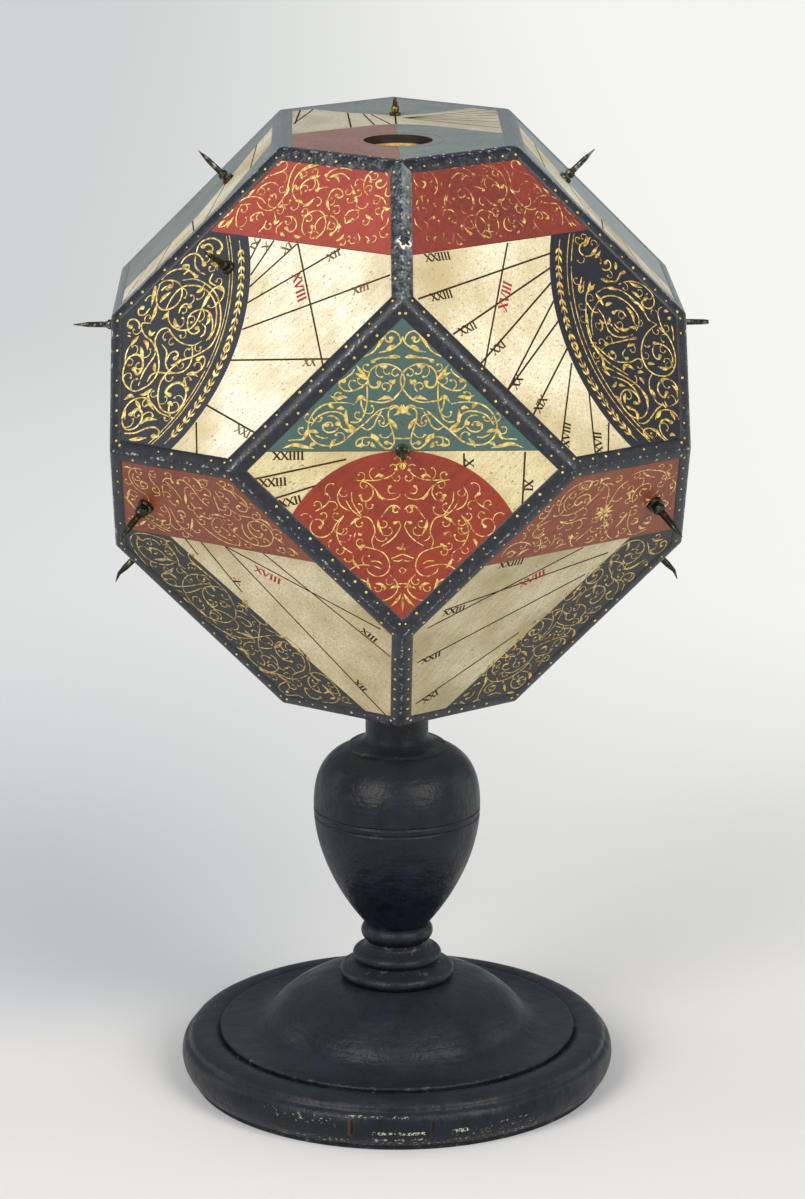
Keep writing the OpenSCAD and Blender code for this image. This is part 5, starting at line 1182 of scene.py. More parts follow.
# Hour lines (right, up, right, up) and numbers (text, right, up, slope) of the dials
UPPER_LEFT_LINES = [
    (-6.5, 26, -8.5, 17), (-0.5, 26, -6, 12), (9.8, 26, -5, 7.5), (28.5, 26, -4.5, 1),
    (52.5, 19, -2.5, -8.5), (42, -14, -4, -20.5), (16.5, -45.5, -8.5, -38), (-10, -45, -5, -58),
    (10, 26, 37, -19),
]
UPPER_LEFT_NUMBERS = [
    ("IX", -8.2, 23.6, 75), ("X", -3, 23.4, 62), ("XI", 6, 24, 45), ("XII", 26.5, 23.6, 36),
    ("XIII", 42, 12.6, 26), ("XX", 30, -16.8, 8), ("XXI", 11, -45.6, -16),
]
UPPER_RIGHT_LINES = [
    (12, 20, -54, 10), (9.3, 15, -44, -4.7), (6.4, 9.3, -36.5, -17), (4.3, 2.2, -29, -28.5),
    (4.3, -5, -29, -28.5), (3.5, -16, -21.5, -39), (3, -22, -13, -51), (6.4, -33.5, 0, -58),
    (10.7, -46, 5.7, -58), (-8, 25.7, -35, -18),
]
UPPER_RIGHT_NUMBERS = [
    ("XXIIII", -40, 24.3, -2), ("XXIII", -43.6, 10, 2), ("XXII", -37, -3.3, 14), ("XXI", -26.6, -12, 24),
    ("XX", -23.4, -25.6, 40), ("XIX", -16.3, -35, 42), ("XVIII", -9.4, -47.6, 65), ("XVII", 3.4, -52.6, 76),
]
FRONT_LINES = [(-57, -4, -20, 4), (-48, -11, -29, -5), (21.8, 6, 22, -1), (43.6, 6.5, 42.6, -16)]
FRONT_NUMBERS = [
    ("XXIIII", -40.5, 5.4, 0), ("XXIII", -46, -4.3, 4), ("XXII", -40, -11.4, 14), ("X", 23.8, 2.4, 90),
    ("IX", 45, -6, 88),
]
LOWER_LEFT_LINES = [
    (-25, 21, -22, 13), (-18, 21, -8, -3), (-7, 20.5, 38.5, -58), (10, 20.5, 51, -23), (-7, 20.5, 51.5, -9),
]
LOWER_LEFT_NUMBERS = [("XII", 31, -42.5, -60), ("XIII", 45, -13.5, -46), ("X", -8.4, 2.4, 60)]
LOWER_RIGHT_LINES = [(-45, -1, 25, 12.5), (-48, -27, 18, 3), (-40, -50, -3, -22), (-50, -9, 11, 18)]
LOWER_RIGHT_NUMBERS = [
    ("XXIIII", -22, 17.2, 0), ("XXIII", -40.5, -2.2, 5), ("XXII", -42, -25.6, 18), ("XXI", -34, -47.8, 34),
]


# Upper dials: level of the horizon line, and circles about one centre beyond the outer side. They bound
# the blue field, carry its run of leaves, and keep the small curls clear of its gold lines
UPPER_LEVEL = 26.3
CENTRE_U, CENTRE_V = 80.9, -11
FIELD_R, LEAF_RUN_R, CURLS_R = 78.2, 74.4, 68.6
# Levels of the horizon line on the other dials, and round fields under it: (right, up, radius)
LOWER_LEFT_LEVEL, LOWER_RIGHT_LEVEL, FRONT_LEVEL, SIDE_LEVEL, SQUARE_LEVEL = 20.5, 18.6, 7, 22, 16
FRONT_ROUND = (0, -38, 45)
SIDE_ROUND = (0, -62, 46)
# Widths of an hour line and of a horizon line
HOUR_W, HORIZON_W = 0.7, 0.4


def hours(sketch, lines, numbers, size=2.8, finish="ink"):
    for a, b, c, d in lines:
        sketch.ribbon("ink", np.linspace((a, b), (c, d), 12), HOUR_W, finish, INK_HEIGHTS)
    for text, u, v, slope in numbers:
        sketch.numeral(text, u, v, size, slope, finish)


def leaf_run(sketch, path, finish, step=3.3):
    """Straight stem with a pair of leaves at each step, along a band."""
    stem, splay, length, width, curl = 0.42, 0.95, 2.9, 1.25, 0.9
    along, run = walk(path)
    sketch.ribbon("gold", path, stem, finish)
    for k in range(1, int(run[-1] / step)):
        at = int(np.searchsorted(run, k * step))
        back = at > len(path) / 2
        way = math.atan2(along[at][1], along[at][0]) + (math.pi if back else 0)
        for side in (-1, 1):
            leaf(sketch, path[at], way + side * splay, length, width, finish, -side * curl)


def both_halves(sketch, fields):
    """Scrollwork that mirrors itself: (strokes, their field, gold, weight, weight of the small curls)."""
    for way in (-1, 1):
        for strokes, _, gold, weight, _ in fields:
            vine(sketch, strokes, gold, weight, way)
        for strokes, shape, gold, _, weight in fields:
            tendrils(sketch, strokes, clip(shrink(shape, 1), -way, 0, -0.6), gold, weight, way)


def upper_side(shape):
    """Ends of the level upper side of a shape."""
    top = max(v for _, v in shape)
    ends = [u for u, v in shape if v > top - 0.01]
    return [(min(ends), top), (max(ends), top)]


def upper_face(face, way, lines, numbers, red, red_gold):
    """Slanted upper dial: red over the horizon line, blue beyond a curve to one side: left for way -1."""
    left = way < 0
    sketch = Sketch(face)
    over = sketch.field(red, clip(sketch.board, 0, -1, -UPPER_LEVEL))
    under = clip(sketch.board, 0, 1, UPPER_LEVEL)
    navy = "navy" if left else "deep_navy"
    gold = "gold_on_" + navy
    centre = (CENTRE_U * way, CENTRE_V)
    sketch.field(navy, common(disc(*centre, FIELD_R), under))
    # Two gold lines and a run of leaves within the curve, each from one angle to another about the centre
    line_radii = (70.7, 69.5 if left else 68.9)
    line_turn, run_turn = ((33, -40), (29, -36)) if left else ((147, 220), (151, 216))
    for r in line_radii:
        path = arc(*centre, r, *line_turn)
        sketch.ribbon("gold", path[inside(path, shrink(under, 0.4))], 0.5, gold)
    band = arc(*centre, LEAF_RUN_R, *run_turn)
    leaf_run(sketch, band[inside(band, shrink(under, 1.5))], gold)
    hours(sketch, [], [("XVIII", 16.2, 10, -58) if left else ("XVIII", -16.5, 6.4, 58)], 3.4, "red_ink")
    scrolls = UPPER_NAVY if left else UPPER_RIGHT_NAVY
    vine(sketch, scrolls, gold, 0.86 if left else 0.72)
    vine(sketch, UPPER_RED, red_gold, 0.66, -way)
    ground = common(disc(*centre, CURLS_R), shrink(under, 1))
    tendrils(sketch, scrolls, ground, gold, 0.58 if left else 0.44, step=3.6 if left else 4.6)
    tendrils(sketch, UPPER_RED, shrink(over, 1), red_gold, 0.5, -way)
    hours(sketch, lines, [])
    hours(sketch, [], numbers, finish="faint_ink" if left else "ink")
    sketch.ribbon("ink", upper_side(under), HORIZON_W, "ink", BORDER_HEIGHTS)
    sketch.pieces()


def lower_face(face, lines, numbers, cut, blue_side, navy, red, level, blossom=None):
    """Slanted lower dial: red over the horizon line, and blue beyond a straight line near its outer side."""
    sketch = Sketch(face)
    # The paints of this downward dial are darker copies: painted shade
    over = sketch.field("lower_red", clip(sketch.board, 0, -1, -level))
    under = clip(sketch.board, 0, 1, level)
    a, b, c, d = cut
    nu, nv = (d - b) * blue_side, (a - c) * blue_side
    outer = sketch.field("lower_navy", clip(under, nu, nv, nu * a + nv * b))
    vine(sketch, navy, "gold_on_lower_navy", 0.62)
    vine(sketch, red, "gold_on_lower_red", 0.58)
    tendrils(sketch, navy, shrink(outer, 1), "gold_on_lower_navy", 0.5)
    tendrils(sketch, red, shrink(over, 1), "gold_on_lower_red", 0.46)
    hours(sketch, [], [("XVIII", 8, 9, -28) if blue_side < 0 else ("XVIII", -8, 6.6, 25)], 3.2, "red_ink")
    if blossom:
        flower(sketch, *blossom, r=4, petals=8, finish="gold_on_lower_red")
    hours(sketch, lines, numbers)
    sketch.pieces()


def front_face(face):
    """Upright square dial: a green triangle over the horizon line and a red round field under it."""
    sketch = Sketch(face)
    over = sketch.field("teal", clip(sketch.board, 0, -1, -FRONT_LEVEL))
    under = clip(sketch.board, 0, 1, FRONT_LEVEL)
    round_field = sketch.field("front_red", common(disc(*FRONT_ROUND), under))
    both_halves(sketch, [
        (FRONT_TEAL, over, "gold_on_teal", 0.78, 0.56), (FRONT_RED, round_field, "gold_on_red", 0.58, 0.44),
    ])
    hours(sketch, FRONT_LINES, FRONT_NUMBERS)
    sketch.ribbon("ink", [(-54, FRONT_LEVEL), (54, FRONT_LEVEL)], HORIZON_W, "ink", BORDER_HEIGHTS)
    sketch.pieces()


def top_face():
    """Level dial with the compass: faded green behind a curve, red and green in front of another."""
    sketch = Sketch("top")
    board = sketch.board
    edge = max(u for u, _ in board)
    tip = max(v for _, v in board)
    corner = max(v for u, v in board if u > edge - 0.01)
    behind = [(-30, 45), (-16, 36.5), (-5, 32), (0, 31), (5, 31.6), (12, 34), (30, 48)]
    sketch.field("slate", [*behind, (0, tip), (-30, tip - 21)])
    # Each half in front runs round the well, along its curve and back along the edge of the board
    rim = WELL_R + 0.6
    notch = [(math.sin(t) * rim, COMPASS_V - math.cos(t) * rim) for t in np.linspace(0, math.pi, 40)]
    bend = [(0, 10), (8, 8.6), (15, 5), (28, -4), (edge, -11.7)]
    half = [*notch, *bend, (edge, -corner), (0, -tip)]
    sketch.field("slate", half[::-1])
    bend = [(0, 10), (-8, 8), (-18, 1.5), (-29, -5.5), (-edge, -12.4)]
    sketch.field("pale_red", [*[(-u, v) for u, v in notch], *bend, (-edge, -corner), (0, -tip)])
    lines = [
        (-36, 45, -38, 12), (-31, 46, -38.5, 12), (-18, 37, -17, 3), (-12, 34, -8, 7.5), (-9, 33, -2, 10),
        (0, 10, 0, 31),
    ]
    lines += [(3, 25, 38.5, v) for v in (44, 37, 30.5, 23, 15, 1)]
    hours(sketch, lines, [])
    ring = disc(1, COMPASS_V, 15.8, 72)
    sketch.ribbon("ink", ring + ring[:1], 0.35, "ink", (-0.03, 0.12))
    sketch.pieces()


def upper_square(face, way):
    """Steep square dial beside the top: a slanting pale field between faded green ones."""
    sketch = Sketch(face)
    edge = max(u for u, _ in sketch.board)
    low = [(12, -edge), (10, 0), (-25, edge), (-edge, edge), (-edge, -edge)]
    high = [(12, edge), (edge, 10), (edge, edge)]
    for part in (low, high):
        shape = part if way < 0 else [(-u, v) for u, v in part]
        area = sum(a[0] * b[1] - b[0] * a[1] for a, b in zip(shape, shape[1:] + shape[:1]))
        sketch.field("slate" if way < 0 else "pale_slate", shape if area > 0 else shape[::-1])
    lines = [
        (8, -3, edge, -1), (9, -14, edge, -22), (9, -26, edge, -40), (-6, 16, edge, 4), (-22, 31, 24, 28),
    ]
    hours(sketch, [(-way * a, b, -way * c, d) for a, b, c, d in lines], [])
    sketch.pieces()


def side_face(face):
    """Upright dial on a flank: red over the horizon line, blue round field under it."""
    sketch = Sketch(face)
    over = sketch.field("red", clip(sketch.board, 0, -1, -SIDE_LEVEL))
    round_field = sketch.field("navy", common(disc(*SIDE_ROUND), sketch.board))
    both_halves(sketch, [
        (SIDE_RED, over, "gold_on_red", 0.72, 0.5), (SIDE_NAVY, round_field, "gold_on_navy", 0.9, 0.6),
    ])
    ends = (-60, -38, -22, -8, 8, 22, 38, 60)
    hours(sketch, [(0.28 * u, 21, u, 21 - 42 * math.cos(u / 42)) for u in ends], [])
    sketch.pieces()


def lower_square(face, way):
    """Overhanging square dial: red over the horizon line and a pale field with a few hour lines."""
    sketch = Sketch(face)
    over = sketch.field("red", clip(sketch.board, 0, -1, -SQUARE_LEVEL))
    corner = sketch.field("navy", clip(sketch.board, -0.8 * way, 0.6, -24))
    both_halves(sketch, [(SQUARE_RED, over, "gold_on_red", 0.66, 0.46)])
    vine(sketch, SQUARE_NAVY, "gold_on_navy", 0.8, way)
    tendrils(sketch, SQUARE_NAVY, shrink(corner, 1), "gold_on_navy", 0.54, way)
    ends = ((-30, -24), (-12, -4), (4, 14), (20, 34))
    hours(sketch, [(way * a, 15.5, way * c, -38.5) for a, c in ends], [])
    sketch.pieces()


upper_face("front_upper_left", -1, UPPER_LEFT_LINES, UPPER_LEFT_NUMBERS, "red", "pale_gold_on_red")
upper_face("front_upper_right", 1, UPPER_RIGHT_LINES, UPPER_RIGHT_NUMBERS, "worn_red", "faint_gold_on_red")
upper_face("back_upper_right", -1, UPPER_LEFT_LINES, UPPER_LEFT_NUMBERS, "red", "gold_on_red")
upper_face("back_upper_left", 1, UPPER_RIGHT_LINES, UPPER_RIGHT_NUMBERS, "red", "gold_on_red")
for face in ("front_lower_left", "back_lower_right"):
    lower_face(face, LOWER_LEFT_LINES, LOWER_LEFT_NUMBERS, (-32, LOWER_LEFT_LEVEL, 30, -58), -1,
               LOWER_LEFT_NAVY, LOWER_LEFT_RED, LOWER_LEFT_LEVEL)
for face in ("front_lower_right", "back_lower_left"):
    lower_face(face, LOWER_RIGHT_LINES, LOWER_RIGHT_NUMBERS, (33, LOWER_RIGHT_LEVEL, -25, -58), 1,
               LOWER_RIGHT_NAVY, LOWER_RIGHT_RED, LOWER_RIGHT_LEVEL, (13.5, 35))
front_face("front")
front_face("back")
top_face()
upper_square("upper_left", -1)
upper_square("upper_right", 1)
side_face("left")
side_face("right")
lower_square("lower_left", -1)
lower_square("lower_right", 1)


# Edge strips: rounded over the joints of the boards, thin at their sides
# Half of a section: (from the ridge, height)
PROFILE = [
    (STRIP_W, 0.1), (4.15, 0.32), (3.5, 0.48), (2.4, 0.55), (1.4, 0.55), (0.7, 0.47), (0.28, 0.36), (0, 0.26),
]
# How deep a strip goes into the boards, and how far from the ridge its wear and its rounding reach
STRIP_SINK, RIDGE_WEAR, RIDGE_ROUND = 0.06, 1.1, 0.5


def bisector(face, corner):
    ring = RINGS[face]
    k = ring.index(corner)
    a = (ring[k - 1] - corner).normalized()
    b = (ring[(k + 1) % len(ring)] - corner).normalized()
    return (a + b) / a.cross(b).length


def strip_end(one, two, corner):
    """Section of a strip at a corner, where it meets others: points, and how near each is to the ridge."""
    def point(face, d, h):
        pull = math.exp(-d / RIDGE_ROUND)
        out = (FACES[face] * (1 - pull) + corner.normalized() * pull).normalized()
        return (MID + corner + bisector(face, corner) * d + out * h) * MM

    points = [point(one, d, h) for d, h in PROFILE]
    points += [point(two, d, h) for d, h in reversed(PROFILE[:-1])]
    points += [point(face, d, -STRIP_SINK) for face, d in ((two, STRIP_W), (one, 0), (one, STRIP_W))]
    near = [max(0, 1 - d / RIDGE_WEAR) for d, _ in PROFILE]
    return points, near + near[-2::-1] + [0, 0, 0]


def edges_of_head():
    names = list(FACES)
    for k, one in enumerate(names):
        for two in names[k + 1:]:
            shared = [c for c in RINGS[one] if c in RINGS[two]]
            if len(shared) == 2:
                a, b = shared
                if (b - a).dot(FACES[one].cross(FACES[two])) < 0:
                    a, b = b, a
                yield one, two, a, b


# Wear of the strips round the two upper front dials, at the upper and the lower end: (face, face beside it)
WEAR = {
    ("front_upper_right", "front_upper_left"): (0.68, 0.36),
    ("front_upper_left", "front_upper_right"): (0.34, 0.32),
    ("top", "front_upper_left"): (0.3, 0.3),
    ("front_upper_left", "top"): (0.3, 0.3),
    ("top", "front_upper_right"): (0.16, 0.16),
    ("front_upper_right", "top"): (0.16, 0.16),
}


def bleached(face, other, end=0):
    """How far the half of a strip that lies on a face has lost its black, beside another face, at one end."""
    if face in ("upper_left", "upper_right") or face == "top" and "front" not in other:
        return 1.0
    return WEAR.get((face, other), (0.0, 0.0))[end]


def edge_strips(name, node, edges, material):
    verts, faces, ridge, faded = [], [], [], []
    for one, two, a, b in edges:
        for corner in (a, b):
            points, near = strip_end(one, two, corner)
            verts += points
            ridge += near
            end = 1 if corner.z < max(a.z, b.z) - 0.01 else 0
            rest = len(points) - len(PROFILE)
            faded += [bleached(one, two, end)] * len(PROFILE) + [bleached(two, one, end)] * rest
        n = len(points)
        s = len(verts) - 2 * n
        for k in range(n):
            m = (k + 1) % n
            faces.append([s + k, s + m, s + n + m, s + n + k])
        faces.append([s + k for k in reversed(range(n))])
        faces.append([s + n + k for k in range(n)])
    made = piece(name, verts, faces, rounded=True)
    made.data.attributes.new("ridge", "FLOAT", "POINT").data.foreach_set("value", ridge)
    made.data.attributes.new("faded", "FLOAT", "POINT").data.foreach_set("value", faded)
    made.data.materials.append(material)
    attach(made, "head")
    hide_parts(node)


EDGES = list(edges_of_head())
edge_strips("square_joint_strips", "square_edge_strips", [e for e in EDGES if e[0] in SQUARES],
            edge_black("edge_black"))
edge_strips("hexagon_joint_strips", "hexagon_edge_strips", [e for e in EDGES if e[0] not in SQUARES],
            edge_black("edge_black_chipped", True))


# Gold dots along the strips
def dot_tree(material):
    """Dots set along each line at one spacing, flat on the strip, some of them worn away."""
    tree = bpy.data.node_groups.new("gilt_dots", "GeometryNodeTree")
    tree.interface.new_socket("Geometry", in_out="INPUT", socket_type="NodeSocketGeometry")
    sockets = {}
    for name in ("Spacing", "Radius", "Kept share"):
        held = tree.interface.new_socket(name, in_out="INPUT", socket_type="NodeSocketFloat")
        sockets[name] = held.identifier
    tree.interface.new_socket("Geometry", in_out="OUTPUT", socket_type="NodeSocketGeometry")
    given = add(tree, "NodeGroupInput")
    path = add(tree, "GeometryNodeMeshToCurve", {"Mesh": given.outputs["Geometry"]})
    points = add(tree, "GeometryNodeCurveToPoints",
                 {"Curve": path.outputs[0], "Length": given.outputs["Spacing"]}, mode="LENGTH")
    ball = add(tree, "GeometryNodeMeshIcoSphere", {"Radius": given.outputs["Radius"], "Subdivisions": 2})
    flat = add(tree, "GeometryNodeTransform", {"Geometry": ball.outputs["Mesh"], "Scale": (1, 1, 0.4)})
    facing = add(tree, "GeometryNodeInputNamedAttribute", {"Name": "facing"}, data_type="FLOAT_VECTOR")
    upright = add(tree, "FunctionNodeAlignRotationToVector", {"Vector": facing.outputs[0]}, axis="Z")
    size = add(tree, "FunctionNodeRandomValue", {2: 0.7, 3: 1.25, "Seed": 3}, data_type="FLOAT")
    kept = add(tree, "FunctionNodeRandomValue", {"Probability": given.outputs["Kept share"], "Seed": 5},
               data_type="BOOLEAN")
    dots = add(tree, "GeometryNodeInstanceOnPoints", {
        "Points": points.outputs[0], "Selection": kept.outputs[3], "Instance": flat.outputs[0],
        "Rotation": upright.outputs[0], "Scale": size.outputs[1]})
    real = add(tree, "GeometryNodeRealizeInstances", {"Geometry": dots.outputs[0]})
    gilt = add(tree, "GeometryNodeSetMaterial", {"Geometry": real.outputs[0], "Material": material})
    add(tree, "NodeGroupOutput", {"Geometry": gilt.outputs[0]})
    return tree, sockets


def edge_dots():
    # Lines of dots on the flat of the strips: from the ridge, short of the corners, and over the boards
    inset, clear, height = 2.5, 1.5, 0.56
    verts, lines, facing = [], [], []
    for one, two, a, b in EDGES:
        for face, beside in ((one, two), (two, one)):
            if bleached(face, beside) == 1:
                continue
            for corner, other in ((a, b), (b, a)):
                spot = corner + bisector(face, corner) * inset + (other - corner).normalized() * clear
                verts.append((MID + spot + FACES[face] * height) * MM)
                facing += list(FACES[face])
            lines.append((len(verts) - 2, len(verts) - 1))
    mesh = bpy.data.meshes.new("edge_dot_lines")
    mesh.from_pydata([tuple(v) for v in verts], lines, [])
    mesh.attributes.new("facing", "FLOAT_VECTOR", "POINT").data.foreach_set("vector", facing)
    guide = bpy.data.objects.new("edge_dot_lines", mesh)
    bpy.context.scene.collection.objects.link(guide)
    tree, sockets = dot_tree(shell_gold("shell_gold_on_black", "#25282e", 0.07))
    maker = guide.modifiers.new("gilt_dots", "NODES")
    maker.node_group = tree
    maker[sockets["Spacing"]] = 0.0056
    maker[sockets["Radius"]] = 0.00046
    maker[sockets["Kept share"]] = 0.78
    evaluated = guide.evaluated_get(bpy.context.evaluated_depsgraph_get())
    made = bpy.data.objects.new("edge_dots", bpy.data.meshes.new_from_object(evaluated))
    bpy.data.objects.remove(guide)
    bpy.context.scene.collection.objects.link(made)
    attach(made, "head")


edge_dots()


# Turned stand, in millimetres (radius, height)
def curve(a, b, c, d, steps=28):
    t = np.linspace(0, 1, steps)[:, None]
    a, b, c, d = (np.array(p, float) for p in (a, b, c, d))
    return list((1 - t) ** 3 * a + 3 * t * (1 - t) ** 2 * b + 3 * t * t * (1 - t) * c + t ** 3 * d)


def bead(r, low, high):
    """Half-round moulding."""
    k = (high - low) / 2
    turns = np.radians(np.linspace(-90, 90, 20))
    return list(np.stack([r - k + k * np.cos(turns), low + k + k * np.sin(turns)], 1))


def turned(name, node, profile, finishes, split=None, sides=168):
    """Solid of revolution; rim says where its outline turns outwards sharply."""
    profile = np.array(profile, float)
    n = len(profile)
    steps = np.diff(profile, axis=0)
    angles = np.unwrap(np.arctan2(steps[:, 1], steps[:, 0]))
    rim = np.zeros(n)
    rim[1:-1] = np.clip(np.diff(angles) / 0.5, 0, 1)
    rim = np.maximum(rim, 0.6 * np.maximum(np.roll(rim, 1), np.roll(rim, -1)))
    verts, faces, values, index = [], [], [], []
    for (r, z), value in zip(profile, rim):
        for k in range(sides):
            turn = 2 * math.pi * k / sides
            verts.append((r * math.cos(turn) * MM, r * math.sin(turn) * MM, z * MM))
        values += [value] * sides
    for i in range(n - 1):
        for k in range(sides):
            m = (k + 1) % sides
            faces.append([i * sides + k, i * sides + m, (i + 1) * sides + m, (i + 1) * sides + k])
            index.append(1 if split and split(profile[i], profile[i + 1]) else 0)
    faces.append(list(reversed(range(sides))))
    faces.append([(n - 1) * sides + k for k in range(sides)])
    index += [0, 0]
    made = piece(name, verts, faces, rounded=True)
    made.data.attributes.new("rim", "FLOAT", "POINT").data.foreach_set("value", values)
    for finish in finishes:
        made.data.materials.append(finish)
    made.data.polygons.foreach_set("material_index", index)
    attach(made, "stand")
    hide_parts(node)


STAND = stand_paint()
WOOD = bare_wood()


def disc_edge():
    """Round edge of the base disc, with a shallow hollow under its shoulder."""
    middle, width, half = 75.9, 9.1, 10
    hollow, hollow_turn, hollow_spread = 0.7, 40, 9
    for turn in np.linspace(-60, 90, 46):
        dip = hollow * math.exp(-((turn - hollow_turn) / hollow_spread) ** 2)
        way = heading(math.radians(turn))
        yield middle + (width - dip) * way[0], half + (half - dip) * way[1]


turned("foot_disc", "foot_base", [
    (20, 0), (80.6, 0), *disc_edge(), (73.6, 19.9), (72.2, 19.5), (71.1, 18.9), (70.1, 18.5), (70.1, 16),
    (20, 16),
], [STAND])
turned("foot_bell", "foot_dome", [
    (10, 16), (69.2, 16), (70, 16.8), (70, 19.6), (69.92, 20.05), (69.7, 20.38), (69.4, 20.52),
    *curve((69, 20.5), (62, 19.4), (55, 18.8), (50.6, 25)),
    *curve((50.6, 25), (46.7, 30.5), (36.5, 40), (21.4, 40.4))[1:], *bead(22.4, 40.4, 45.4), (16.4, 47.4),
    *bead(17.4, 47.4, 52), (13.3, 52.6), (12.1, 54), (8.05, 54),
], [STAND])


def vase():
    """Egg-shaped vase with two fine lines cut round its widest part."""
    low = curve((12.5, 63), (24.5, 76.92), (32.5, 95.16), (32.5, 111), 60)
    high = curve((32.5, 111), (32.5, 120.4), (31, 130.5), (19.5, 134.5))
    whole = np.array(low + high[1:])
    for z in np.arange(106, 113.2, 0.2):
        depth = max(math.exp(-((z - line) / 0.4) ** 2) for line in (108.1, 111))
        yield np.interp(z, whole[:, 1], whole[:, 0]) - 0.5 * depth, z
    yield from (p for p in whole if not 105.9 < p[1] < 113.3)


turned("baluster_vase", "baluster", [
    (8, 28), (8, 54), (12.1, 54), (12.1, 55.6), *bead(14.1, 55.6, 63), *sorted(vase(), key=lambda p: p[1]),
    (19, 134.7), (19, 135.7), *curve((18.4, 136.1), (15, 136.5), (12.8, 137.5), (12.2, 140.5)), (12.2, 166.4),
    (10, 166.4), (10, 200.9), (8.5, 202.4),
], [STAND, WOOD], lambda a, b: max(a[0], b[0]) < 12.15 and a[1] < 53 or a[1] > 166)


# CAD nodes that keep their shape
def dress(name, material):
    node = NODES[name]
    if not node.material_slots:
        node.data.materials.append(material)
    for held in node.material_slots:
        held.material = material


IRON = metal("darkened_iron", "#8f8a64", "#34352d", 0.4, 0.56)
BRASS = metal("old_brass", "#b58f42", "#46351a", 0.38, 0.5)
STEEL = metal("blued_steel", "#59636f", "#2f3742", 0.3, 0.45)
for name in NODES:
    if name.startswith("board_"):
        # Boards of the downward faces take the darker gesso: painted shade
        dress(name, FINISHES["brown_gesso" if "lower" in name else "gesso"])
    elif name.startswith("gnomon_"):
        dress(name, IRON)
# Lighter iron on the upper and side gnomons: rubbed, and partly a painted highlight where the lamps catch
# them
WORN_LIT_IRON = metal("worn_iron", "#97948a", "#383833", 0.38, 0.5)
for name in ("gnomon_upper_left", "gnomon_upper_right", "gnomon_left", "gnomon_right"):
    dress(name, WORN_LIT_IRON)
dress("gnomon_top", metal("darkened_brass", "#a88f4f", "#37342a", 0.4, 0.5))
dress("board_top", FINISHES["well_gesso"])
dress("board_front", FINISHES["yellow_gesso"])
dress("board_front_upper_right", FINISHES["soiled_gesso"])
# The front lower right board is darker still: painted shade
dress("board_front_lower_right", FINISHES["dull_gesso"])
for name in ("compass_bowl", "compass_pivot", "needle_cap"):
    dress(name, BRASS)
dress("compass_ring", shell_gold("gilt_brass", "#8c6a2c", 0, ("#c49d42", "#e8ca70")))
dress("compass_needle", STEEL)
dress("compass_card", paper_card())
dress("compass_glass", old_glass())
dress("compass_cup", WOOD)
dress("socket_block", WOOD)


# Eight points of a plain compass rose on the card
def compass_rose():
    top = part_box("compass_card")[1].z
    centre = Vector((0, COMPASS_V * MM, top))
    long, short, waist, heart, thickness = 9.8, 6.6, 3.3, 1.8, 0.06
    spread = 0.36
    verts, faces = [], []
    for k in range(8):
        turn = k * math.pi / 4
        reach = long if k % 2 == 0 else short
        s = len(verts)
        for way, r in ((turn, reach), (turn + spread, waist), (turn, heart), (turn - spread, waist)):
            for height in (0, thickness):
                verts.append(centre + Vector((math.sin(way) * r, math.cos(way) * r, height)) * MM)
        faces += [[s + 1, s + 3, s + 5], [s + 1, s + 5, s + 7], [s, s + 4, s + 2], [s, s + 6, s + 4]]
        faces += [[s, s + 2, s + 3, s + 1], [s + 2, s + 4, s + 5, s + 3], [s + 4, s + 6, s + 7, s + 5],
                  [s + 6, s, s + 1, s + 7]]
    made = piece("compass_rose", verts, [f[::-1] for f in faces])
    made.data.materials.append(FINISHES["ink"])
    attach(made, "head")


compass_rose()


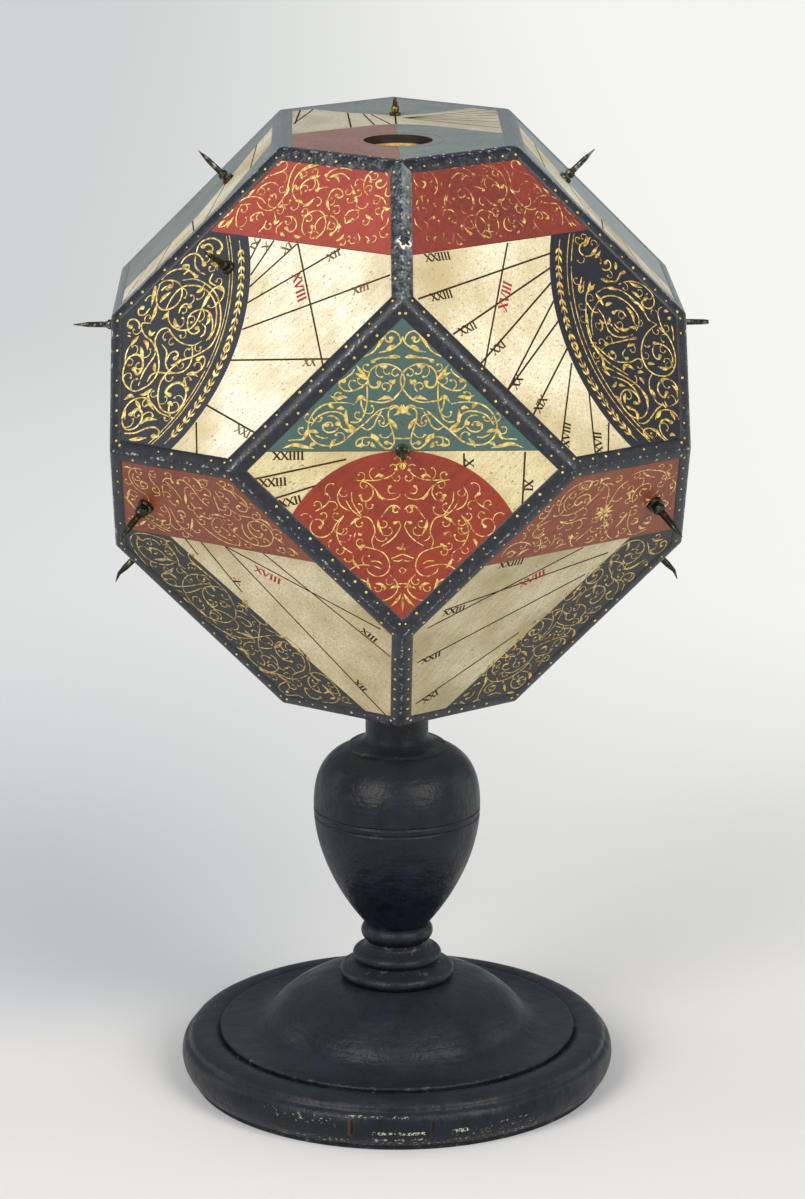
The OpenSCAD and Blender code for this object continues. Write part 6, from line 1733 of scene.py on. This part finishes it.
# Studio: pale sweep, two large soft lamps in front, two small ones above them, two tall ones at the sides
def studio():
    mesh = bpy.data.meshes.new("floor")
    mesh.from_pydata([(-9, -9, 0), (9, -9, 0), (9, 9, 0), (-9, 9, 0)], [], [(0, 1, 2, 3)])
    floor = bpy.data.objects.new("floor", mesh)
    bpy.context.scene.collection.objects.link(floor)
    # Grey paper: lit near the object, where it keeps the shadow, plain pale further off, brighter at right,
    # with painted shadow and painted falloff of light
    material, tree, shader, place = finish_of("paper_sweep", Roughness=0.9)
    spread = add(tree, "ShaderNodeSeparateXYZ", {0: place})

    def sweep(axis, start, end, one, two):
        """One tone of the paper that runs softly into another along an axis."""
        share = add(tree, "ShaderNodeMapRange",
                    {"Value": spread.outputs[axis], "From Min": start, "From Max": end},
                    interpolation_type="SMOOTHSTEP")
        return add(tree, "ShaderNodeMix", {0: share.outputs[0], 6: one, 7: two}, data_type="RGBA").outputs[2]

    # Painted shadow: the paper's colour is darker at left behind the object and near white at right
    behind = sweep(0, -0.16, 0.16, linear("#dde1e7"), linear("#fefefc"))
    tree.links.new(sweep(1, 0, 0.12, linear("#eff0f2"), behind), shader.inputs["Base Color"])
    # Painted falloff of light: the tone seen further off is grey to the left and further back, near white to
    # the right
    left = sweep(1, 0.8, 1.5, linear("#dddedf"), linear("#d0d2d3"))
    glow = add(tree, "ShaderNodeEmission", {"Color": sweep(0, -0.3, 0.3, left, linear("#f5f6f0"))})
    flat = add(tree, "ShaderNodeVectorMath", {0: place}, operation="LENGTH")
    away = add(tree, "ShaderNodeMapRange",
               {"Value": flat.outputs["Value"], "From Min": 0.1, "From Max": 0.75},
               interpolation_type="SMOOTHSTEP")
    ray = add(tree, "ShaderNodeLightPath")
    seen = add(tree, "ShaderNodeMath", {0: ray.outputs["Is Camera Ray"], 1: ray.outputs["Is Glossy Ray"]},
               operation="ADD")
    seen = add(tree, "ShaderNodeMath", {0: seen.outputs[0], 1: ray.outputs["Is Transmission Ray"]},
               operation="ADD", use_clamp=True)
    share = add(tree, "ShaderNodeMath", {0: seen.outputs[0], 1: away.outputs[0]}, operation="MULTIPLY")
    both = add(tree, "ShaderNodeMixShader", {0: share.outputs[0], 1: shader.outputs[0], 2: glow.outputs[0]})
    output = next(n for n in tree.nodes if n.type == "OUTPUT_MATERIAL")
    tree.links.new(both.outputs[0], output.inputs["Surface"])
    mesh.materials.append(material)

    world = bpy.data.worlds.new("studio")
    bpy.context.scene.world = world
    world.use_nodes = True
    world.node_tree.nodes.clear()
    sky = add(world.node_tree, "ShaderNodeBackground", {"Color": linear("#e6edf4"), "Strength": 0.36})
    add(world.node_tree, "ShaderNodeOutputWorld", {"Surface": sky.outputs[0]})

    # (name, place, width, height, watts), all turned to the middle of the object
    aim = Vector((0, 0, 0.22))
    lamps = [
        ("key", (-1.4, -1.75, 1.4), 1.3, 1.3, 37),
        ("fill", (1.4, -1.75, 1.4), 1.3, 1.3, 33),
        ("left_gleam", (-0.9, -1.1, 1.9), 0.4, 0.4, 2.6),
        ("right_gleam", (0.9, -1.1, 1.9), 0.4, 0.4, 2.6),
        ("left_strip", (-1.3, 0.35, 0.4), 0.3, 1.0, 2.5),
        ("right_strip", (1.3, 0.35, 0.4), 0.3, 1.0, 2.5),
    ]
    for name, at, width, height, power in lamps:
        light = bpy.data.lights.new(name, "AREA")
        light.shape = "RECTANGLE"
        light.size = width
        light.size_y = height
        light.energy = power
        light.color = linear("#fff9f1")[:3]
        lamp = bpy.data.objects.new(name, light)
        lamp.location = at
        lamp.rotation_euler = (aim - Vector(at)).to_track_quat("-Z", "Y").to_euler()
        bpy.context.scene.collection.objects.link(lamp)

    camera = bpy.data.objects.new("camera", bpy.data.cameras.new("camera"))
    camera.data.lens = 126
    camera.location = (-0.0303, -1.5538, 0.6325)
    camera.rotation_euler = (math.radians(90 - 15.76), 0, math.radians(-1.197))
    bpy.context.scene.collection.objects.link(camera)
    bpy.context.scene.camera = camera
    bpy.context.scene.view_settings.view_transform = "Standard"


studio()
